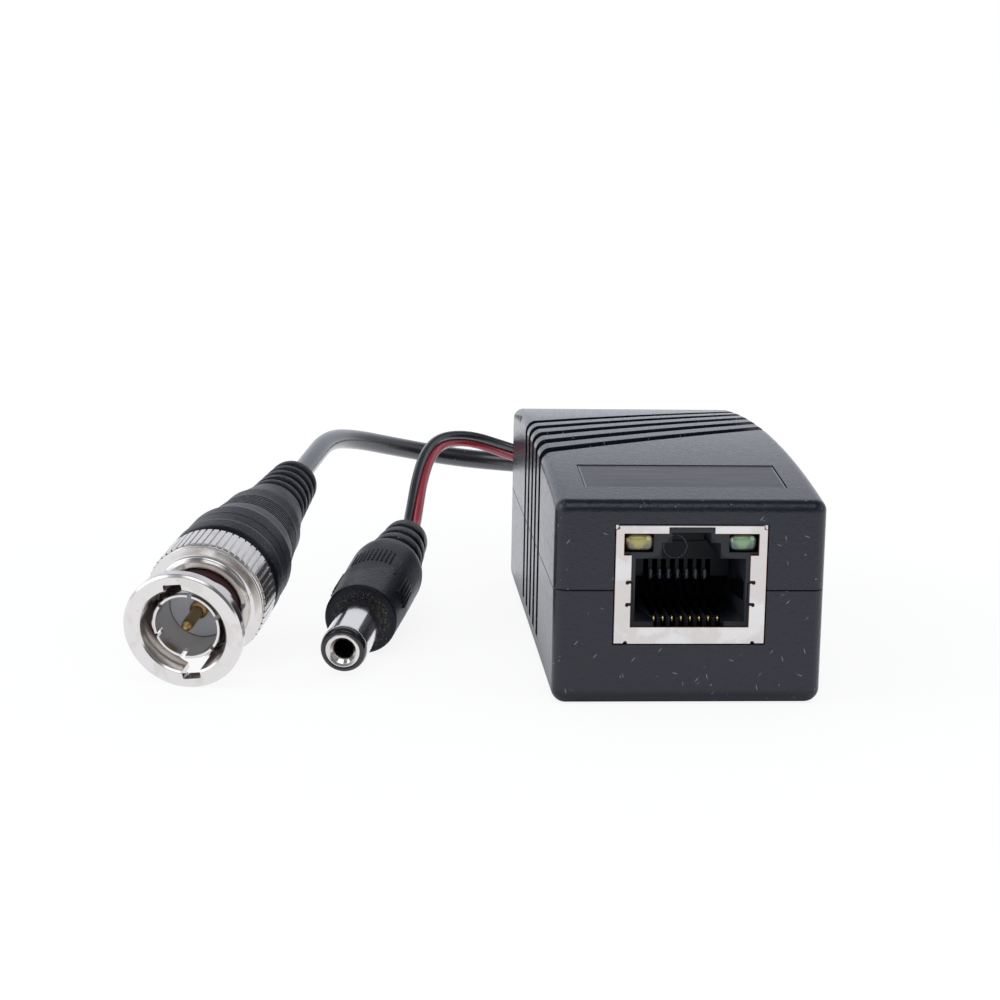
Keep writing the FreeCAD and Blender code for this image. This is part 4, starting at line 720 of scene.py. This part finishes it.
nut = turned("coupling_nut_turned", [
    (5.18, 0, 0.04), (6.66, 0, 0.06), (6.93, 0.26, 0.06), (6.93, 1.34, 0.2), (6.66, 1.56, 0.08),
    (5.55, 1.56, 0.1), (5.55, 6.65), (5.55, 7.75, 1.1), (6.88, 7.92, 0.08), (6.9, 8.2, 0.1),
    (6.62, 8.32, 0.08), (6.62, 8.5, 0.08), (6.82, 8.62, 0.06), (6.82, 12.95, 0.08), (6.6, 13.1, 0.06),
    (5.3, 13.1, 0.08), (5.3, 11.2), (4.45, 11.2), (4.45, 9.8), (4.95, 9.8), (4.95, 0.24, 0.05)])
WINDOW_TURN = 100
RAMP_FRONT, RAMP_DEPTH = 1.95, 2.15
RAMP_END, SEAT_START, SEAT_DEPTH = 0.7, 0.78, 0.6
WINDOW_BACK, WINDOW_CORNER = 6.57, 0.5
WINDOW_STEPS = 40
KNURL_RIDGES = 55


def window(start):
    """One bayonet window: its front edge is a ramp with a seat at the end, its back edge is square."""
    shape = bmesh.new()
    rings = []
    for step in range(WINDOW_STEPS + 1):
        share = step / WINDOW_STEPS
        ramp = min(1.0, share / RAMP_END)
        front = RAMP_FRONT + RAMP_DEPTH * ramp * ramp * (3 - 2 * ramp)
        if share > SEAT_START:
            seat = min(1.0, (share - SEAT_START) / (1 - SEAT_START))
            front -= SEAT_DEPTH * math.sin(math.pi * seat) ** 0.5
        from_end = min(1.0, min(share, 1 - share) / 0.05)
        back = WINDOW_BACK - WINDOW_CORNER * (1 - from_end) ** 2
        angle = math.radians(start + WINDOW_TURN * share)
        rings.append([shape.verts.new((radius * math.cos(angle), radius * math.sin(angle), distance))
                      for radius, distance in ((4.5, front), (6.0, front), (6.0, back), (4.5, back))])
    shape.faces.new(rings[0])
    shape.faces.new(rings[-1])
    for ring, after in zip(rings, rings[1:]):
        for step in range(4):
            onward = (step + 1) % 4
            shape.faces.new((ring[step], ring[onward], after[onward], after[step]))
    bmesh.ops.recalc_face_normals(shape, faces=shape.faces)
    return solid("window", shape)


entries = bevelled(block("entries", (-1.07, -5.75, -1), (1.07, 5.75, 4.0)), 0.15, 2)
cut(nut, window(-99.5), window(80.5), entries)
ridge = bevelled(block("ridge", (6.7, -0.325, 8.72), (7.05, 0.325, 12.88)), 0.05, 2)
knurl = copied(ridge, plated, KNURL_RIDGES, turn=360 / KNURL_RIDGES)
finished(joined(nut, knurl), plated, "coupling_nut", "bnc_nut", place=rolled(-7.5), sharp=22)

# Video plug, fixed body. A nickel-plated tube slotted into six spring fingers, with a white
# insulator, a gold-plated pin, and a flange that bears a dark red gasket. A wave spring sits
# behind the flange.
tube = turned("plug_body", [
    (3.6, 1.45, 0.05), (3.9, 1.4, 0.06), (4.05, 1.75, 0.1), (4.05, 2.8, 0.2), (3.9, 3.6, 0.2),
    (3.9, 7.0, 0.04), (4.88, 7.0, 0.06), (4.88, 7.9, 0.06), (4.38, 7.9), (4.38, 12.8), (4.0, 13.2),
    (4.0, 17.5), (1.9, 17.5), (1.9, 9.1), (3.6, 9.1)])
slot_cutters = [block("slot", (-5, -0.24, 0), (5, 0.24, 3.1)) for _ in range(3)]
for number, cutter in enumerate(slot_cutters):
    cutter.data.transform(Matrix.Rotation(math.radians(60 * number), 4, "Z"))
finished(cut(tube, *slot_cutters), plated, "balun", "bnc_body", place=rolled(-20), sharp=32)

brass = Finish("pin_brass", "gold_plated_brass", Metallic=1.0)
turning = brass.noise(1500, 3, stretch=(1.0, 0.3, 1.0))
brass.set(Base_Color=brass.blend(turning, (0.29, 0.19, 0.08), (0.50, 0.36, 0.17)),
          Roughness=0.28 + 0.2 * turning)
brass.bump(turning, 0.25, 0.00004)
pin = turned("centre_pin", [
    (0, 1.1), (0.2, 1.1, 0.04), (0.6, 1.62, 0.06), (0.67, 2.15, 0.06), (0.675, 5.5, 0.05), (1.05, 5.75, 0.1),
    (1.05, 10.9), (0, 10.9)], 64)
finished(pin, brass, "balun", "bnc_pin", place=VIDEO_PLUG)

white_plastic = Finish("insulator_white", "insulator_white", Subsurface_Weight=0.15, Subsurface_Scale=0.001)
milky = white_plastic.noise(500, 3)
white_plastic.set(Base_Color=white_plastic.blend(milky, (0.58, 0.6, 0.64), (0.68, 0.69, 0.73)),
                  Roughness=0.4 + 0.15 * milky)
insulator = turned("plug_insulator", [(1.05, 6.5, 0.05), (3.58, 6.5, 0.1), (3.58, 9.1), (1.05, 9.1)], 96)
finished(insulator, white_plastic, "balun", "bnc_insulator", place=VIDEO_PLUG)

rubber = Finish("gasket_rubber", "gasket_rubber")
chalky = rubber.noise(700, 3)
rubber.set(Base_Color=rubber.blend(chalky, (0.03, 0.005, 0.006), (0.048, 0.009, 0.009)),
           Roughness=0.5 + 0.2 * chalky)
rubber.bump(chalky, 0.2, 0.00005)
gasket = turned("flange_gasket", [(3.9, 5.7, 0.1), (4.75, 5.7, 0.3), (4.75, 7.0, 0.1), (3.9, 7.0)], 96)
finished(gasket, rubber, "balun", "bnc_gasket", place=VIDEO_PLUG)

spring_steel = Finish("spring_steel", "spring_steel", Metallic=1.0)
oiled = spring_steel.noise(700, 3)
spring_steel.set(Base_Color=spring_steel.blend(oiled, (0.4, 0.4, 0.4), (0.52, 0.52, 0.52)),
                 Roughness=0.25 + 0.15 * oiled)
for node in ("bnc_retaining_ring", "bnc_thrust_washer"):
    spring_steel.on(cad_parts[node])
spring = bmesh.new()
spring.from_mesh(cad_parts["bnc_wave_washer"].data)
bmesh.ops.remove_doubles(spring, verts=spring.verts, dist=1e-7)
spring = solid("wave_spring", spring)
finished(spring, spring_steel, "balun", "bnc_wave_washer", place=Matrix())
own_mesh(spring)

# Video plug, boot. Black vinyl moulded over the crimped lead: a plain barrel, a band with seven fine
# grooves, a cone, and five thick rings that let the tail bend with the lead. Lint clings to it, and
# on the power plug's handle, of the same vinyl, crumbs of dirt lie round the barrel's root.
vinyl = Finish("boot_vinyl", "boot_vinyl", Specular_IOR_Level=0.26)
skin = vinyl.noise(2600, 3)
smear = vinyl.limits(vinyl.noise(160, 4), 0.42, 0.7)
BARREL_ROOT = (-0.03592, -0.00965, 0.00428)
root = vinyl.add("VectorMath", "Value", {"operation": "DISTANCE"}, {0: vinyl.place, 1: BARREL_ROOT})
ring = vinyl.limits(root, 0.0027, 0.0029) * vinyl.limits(root, 0.0039, 0.0031)
crumbs = vinyl.limits(vinyl.noise(5200, 3), 0.48, 0.66) * ring
lint = vinyl.larger(vinyl.specks(1000, 0.36, 0.12), vinyl.specks(2300, 0.16, 0.18, length=5, turn=50))
black = vinyl.blend(smear, (0.0035, 0.0047, 0.0095), (0.008, 0.01, 0.0185))
dusty = vinyl.blend(lint * 0.5, black, (0.34, 0.33, 0.3))
vinyl.set(Base_Color=vinyl.blend(crumbs * 0.7, dusty, (0.13, 0.115, 0.085)))
vinyl.set(Roughness=0.3 + 0.14 * smear + 0.08 * skin + 0.2 * lint)
vinyl.bump(skin, 0.8, 0.00009)

outline = [(4.0, 13.25, 0.1), (6.5, 13.25, 0.2), (6.95, 14.1, 0.4), (6.95, 16.2, 0.3), (6.78, 16.6, 0.2),
           (6.76, 18.5, 0.03), (6.69, 18.57, 0.03), (6.76, 18.64, 0.03), (6.7, 20.9, 0.5), (6.4, 21.6, 0.2),
           (6.2, 22.6, 0.3)]
FINE_GROOVES, TAIL_RINGS = 7, 5
for number in range(FINE_GROOVES):
    at = 24.0 + 0.58 * number
    big = 5.88 - 0.082 * number
    outline += [(big, at, 0.05), (big - 0.09, at + 0.07, 0.04), (big - 0.1, at + 0.17, 0.04),
                (big - 0.03, at + 0.25, 0.05)]
outline += [(5.26, 28.4, 0.1), (5.14, 30.3, 0.25), (4.86, 30.7, 0.1), (4.86, 31.0, 0.1), (3.98, 35.1, 0.3)]
for number in range(TAIL_RINGS):
    big = 3.86 - 0.16 * number
    at = 35.35 + 2.05 * number
    end = at + 1.68 if number < TAIL_RINGS - 1 else 45.2
    outline += [(big - 0.5, at - 0.14, 0.15), (big - 0.52, at + 0.24, 0.15), (big - 0.05, at + 0.45, 0.2),
                (big, at + 1.05, 0.3), (big - 0.08, end, 0.3)]
outline += [(3.0, 45.45, 0.2), (1.35, 45.45, 0.1), (1.35, 43.8), (0, 43.8), (0, 17.5), (4.0, 17.5)]
boot = turned("video_plug_boot", outline)
finished(boot, vinyl, "balun", "bnc_boot", place=VIDEO_PLUG, sharp=40)

# Power plug. A chromed barrel and a flared inner sleeve, kept apart by a black plastic nose ring,
# in a moulded vinyl handle with a dotted grip patch, side bars and three strain-relief rings.
POWER_PLUG = plug_place((-38.05, -19.65, 3.0258), 12.0, 7.0)
chrome = Finish("chromed_brass", "chromed_brass", Metallic=1.0)
polish = chrome.noise(1100, 3)
chrome.set(Base_Color=chrome.blend(polish, (0.76, 0.735, 0.705), (0.84, 0.815, 0.785)),
           Roughness=0.09 + 0.09 * polish)
chrome.bump(polish, 0.05, 0.00002)
barrel = turned("power_barrel", [
    (2.45, 1.05, 0.03), (2.72, 1.05, 0.05), (2.75, 1.25, 0.05), (2.75, 10.3), (2.45, 10.3),
    (2.45, 13.9), (2.15, 13.9), (2.15, 10.0), (2.45, 10.0)])
finished(barrel, chrome, "balun", "dc_barrel", place=POWER_PLUG)
sleeve = turned("power_sleeve", [
    (1.2, 0.6, 0.1), (1.6, 0.16, 0.12), (1.9, 0.02, 0.06), (2.02, 0.1, 0.05), (1.98, 0.3), (1.35, 1.05),
    (1.35, 13.9), (1.05, 13.9), (1.05, 0.9, 0.1)])
finished(sleeve, plated, "balun", "dc_inner_sleeve", place=POWER_PLUG)

nose_plastic = Finish("tip_plastic", "tip_plastic", Coat_Weight=0.3, Coat_Roughness=0.1)
soft = nose_plastic.noise(900, 2)
nose_plastic.set(Base_Color=nose_plastic.blend(soft, (0.006, 0.0065, 0.008), (0.0095, 0.01, 0.012)),
                 Roughness=0.16 + 0.12 * soft)
nose_ring = turned("power_nose_ring", [
    (1.98, 0.1, 0.05), (2.2, 0.0, 0.1), (2.5, 0.12, 0.25), (2.67, 0.5, 0.25), (2.67, 0.86, 0.12),
    (2.55, 1.05, 0.08), (2.45, 1.05), (2.45, 10.0), (2.15, 10.0), (2.15, 13.9), (1.35, 13.9),
    (1.35, 1.05), (1.98, 0.3)])
finished(nose_ring, nose_plastic, "balun", "dc_tip_insulator", place=POWER_PLUG)

outline = [(2.45, 10.3), (2.9, 10.28, 0.1), (4.12, 10.3, 0.1), (4.35, 10.48, 0.1), (4.55, 20.0, 2.0),
           (4.6, 26.4, 0.7), (4.35, 27.9, 0.5), (3.7, 29.0, 0.4), (3.4, 29.6, 0.15)]
HANDLE_RINGS = 3
for number in range(HANDLE_RINGS):
    big = 3.66 - 0.3 * number
    at = 30.0 + 3.35 * number
    end = at + 2.75 if number < HANDLE_RINGS - 1 else 39.8
    outline += [(big - 0.55, at - 0.1, 0.15), (big - 0.58, at + 0.45, 0.15), (big - 0.06, at + 0.7, 0.22),
                (big, at + 1.6, 0.4), (big - 0.14, end, 0.4)]
outline += [(2.5, 40.15, 0.15), (0, 40.15), (0, 13.9), (2.45, 13.9)]
handle = turned("power_plug_handle", outline)
DOT_RADIUS, DOT_PITCH, DOT_START, HANDLE_RADIUS = 0.19, 0.625, 19.1, 4.5
dot = bmesh.new()
bmesh.ops.create_uvsphere(dot, u_segments=10, v_segments=6, radius=DOT_RADIUS)
for corner in dot.verts:
    corner.co.x = HANDLE_RADIUS + 0.85 * corner.co.x
    corner.co.z += DOT_START
dots = copied(copied(solid("dots", dot), vinyl, 7, step=(0, 0, DOT_PITCH)), vinyl, 10, turn=7.0)
dots.data.transform(Matrix.Rotation(math.radians(-128), 4, "Z"))
bar = bevelled(block("bar", (4.3, -0.09, 17.2), (4.66, 0.09, 21.8)), 0.07, 2)
bar.data.transform(Matrix.Rotation(math.radians(-50), 4, "Z"))
side_bars = []
for start in (-30, -176):
    side_bar = bevelled(block("side_bar", (4.25, -0.12, 14.2), (4.64, 0.12, 19.4)), 0.08, 2)
    row = copied(side_bar, vinyl, 5, turn=6.5)
    row.data.transform(Matrix.Rotation(math.radians(start), 4, "Z"))
    side_bars.append(row)
finished(joined(handle, dots, bar, *side_bars), vinyl, "balun", "dc_boot", place=POWER_PLUG, sharp=40)

# Light and floor. A white table inside a white tent, with a soft light above and in front of the
# object and one from the left. The tent is a little bluish, dimmer to the right, and open at the
# top and behind the camera, so that gloss mirrors the darker room there.
def area_light(name, place, aim, wide, tall, power):
    data = bpy.data.lights.new(name, "AREA")
    data.shape = "RECTANGLE"
    data.size = wide
    data.size_y = tall
    data.energy = power
    data.color = (0.94, 0.97, 1.0)
    light = bpy.data.objects.new(name, data)
    bpy.context.collection.objects.link(light)
    light.location = place
    light.rotation_euler = (Vector(aim) - Vector(place)).to_track_quat("-Z", "Y").to_euler()


area_light("overhead_light", (-0.06, -0.42, 0.64), (0, 0, 0), 0.5, 0.4, 1.0)
area_light("left_light", (-0.75, -0.1, 0.4), (0, 0, 0.01), 0.5, 0.5, 1.1)

world = bpy.data.worlds.new("studio")
bpy.context.scene.world = world
world.use_nodes = True
nodes = world.node_tree.nodes
links = world.node_tree.links


def world_node(kind, settings=(), inputs=()):
    node = nodes.new("ShaderNode" + kind)
    for setting, choice in dict(settings).items():
        setattr(node, setting, choice)
    for name, term in dict(inputs).items():
        if isinstance(term, bpy.types.NodeSocket):
            links.new(term, node.inputs[name])
        else:
            node.inputs[name].default_value = term
    return node


ray = world_node("LightPath").outputs
direction = world_node("TexCoord").outputs["Generated"]
toward_dark = world_node("VectorMath", {"operation": "DOT_PRODUCT"}, {0: direction, 1: (0.86, -0.36, 0.36)})
tent = world_node("MapRange", {"interpolation_type": "SMOOTHSTEP"},
                  {0: toward_dark.outputs["Value"], 1: 0.2, 2: 0.85, 3: 1.0, 4: 0.6}).outputs[0]
heights = world_node("SeparateXYZ", {}, {"Vector": direction}).outputs
open_top = world_node("MapRange", {"interpolation_type": "SMOOTHSTEP"},
                      {0: heights["Z"], 1: 0.66, 2: 0.8, 3: 1.0, 4: 0.2}).outputs[0]
open_front = world_node("MapRange", {"interpolation_type": "SMOOTHSTEP"},
                        {0: heights["Y"], 1: -0.75, 2: -0.35, 3: 0.3, 4: 1.0}).outputs[0]
for opening in (open_top, open_front):
    tent = world_node("Math", {"operation": "MULTIPLY"}, {0: tent, 1: opening}).outputs[0]
mirrored_tent = world_node("Mix", {"data_type": "RGBA", "blend_type": "MULTIPLY"},
                           {0: 1.0, 6: (0.80, 0.83, 0.91, 1), 7: tent}).outputs[2]
lit = world_node("Mix", {"data_type": "RGBA"},
                 {0: ray["Is Glossy Ray"], 6: (0.66, 0.68, 0.71, 1), 7: mirrored_tent})
backdrop = world_node("Mix", {"data_type": "RGBA"},
                      {0: ray["Is Camera Ray"], 6: lit.outputs[2], 7: (1, 1, 1, 1)})
links.new(backdrop.outputs[2], nodes["Background"].inputs["Color"])

floor_mesh = bpy.data.meshes.new("floor")
floor_mesh.from_pydata([(-1.5, -1.5, 0), (1.5, -1.5, 0), (1.5, 3, 0), (-1.5, 3, 0)], [], [(0, 1, 2, 3)])
floor = bpy.data.objects.new("floor", floor_mesh)
bpy.context.collection.objects.link(floor)
table = Finish("white_table", "table", Base_Color=(0.86, 0.86, 0.87), Roughness=0.9)
table_path = table.tree.nodes.new("ShaderNodeLightPath")
glow = table.tree.nodes.new("ShaderNodeEmission")
glow.inputs["Strength"].default_value = 1.05
OBJECT_MIDDLE = (-0.025, 0.005, 0.0)
HOUSING_FOOT = (0.014, 0.0305, 0.0)
from_middle = table.add("VectorMath", 0, {"operation": "SUBTRACT"}, {0: table.place, 1: OBJECT_MIDDLE})
spread = table.add("VectorMath", "Value", {"operation": "LENGTH"}, {0: from_middle})
under = table.add("VectorMath", 0, {"operation": "ABSOLUTE"}, {0: table.place})
beyond = table.add("VectorMath", 0, {"operation": "SUBTRACT"}, {0: under, 1: HOUSING_FOOT})
outside = table.add("VectorMath", 0, {"operation": "MAXIMUM"}, {0: beyond, 1: (0.0, 0.0, 0.0)})
away = table.add("VectorMath", "Value", {"operation": "LENGTH"}, {0: outside})
clear = table.limits(away, 0.0, 0.007)
seen = Value(table, table_path.outputs["Is Camera Ray"])
table.feed(glow.inputs["Color"], table.blend(seen, (1.0, 1.02, 1.07), (1.0, 1.0, 1.0)))
mirrored = Value(table, table_path.outputs["Is Glossy Ray"])
whiteness = table.limits(spread, 0.06, 0.16, 0.84, 1.0) * (seen + mirrored * clear)
mix = table.tree.nodes.new("ShaderNodeMixShader")
table.tree.links.new(whiteness.socket, mix.inputs[0])
table.tree.links.new(table.shader.outputs[0], mix.inputs[1])
table.tree.links.new(glow.outputs[0], mix.inputs[2])
table.tree.links.new(mix.outputs[0], table.tree.nodes["Material Output"].inputs["Surface"])
floor.data.materials.append(table.material)

bpy.context.scene.view_settings.view_transform = "Standard"
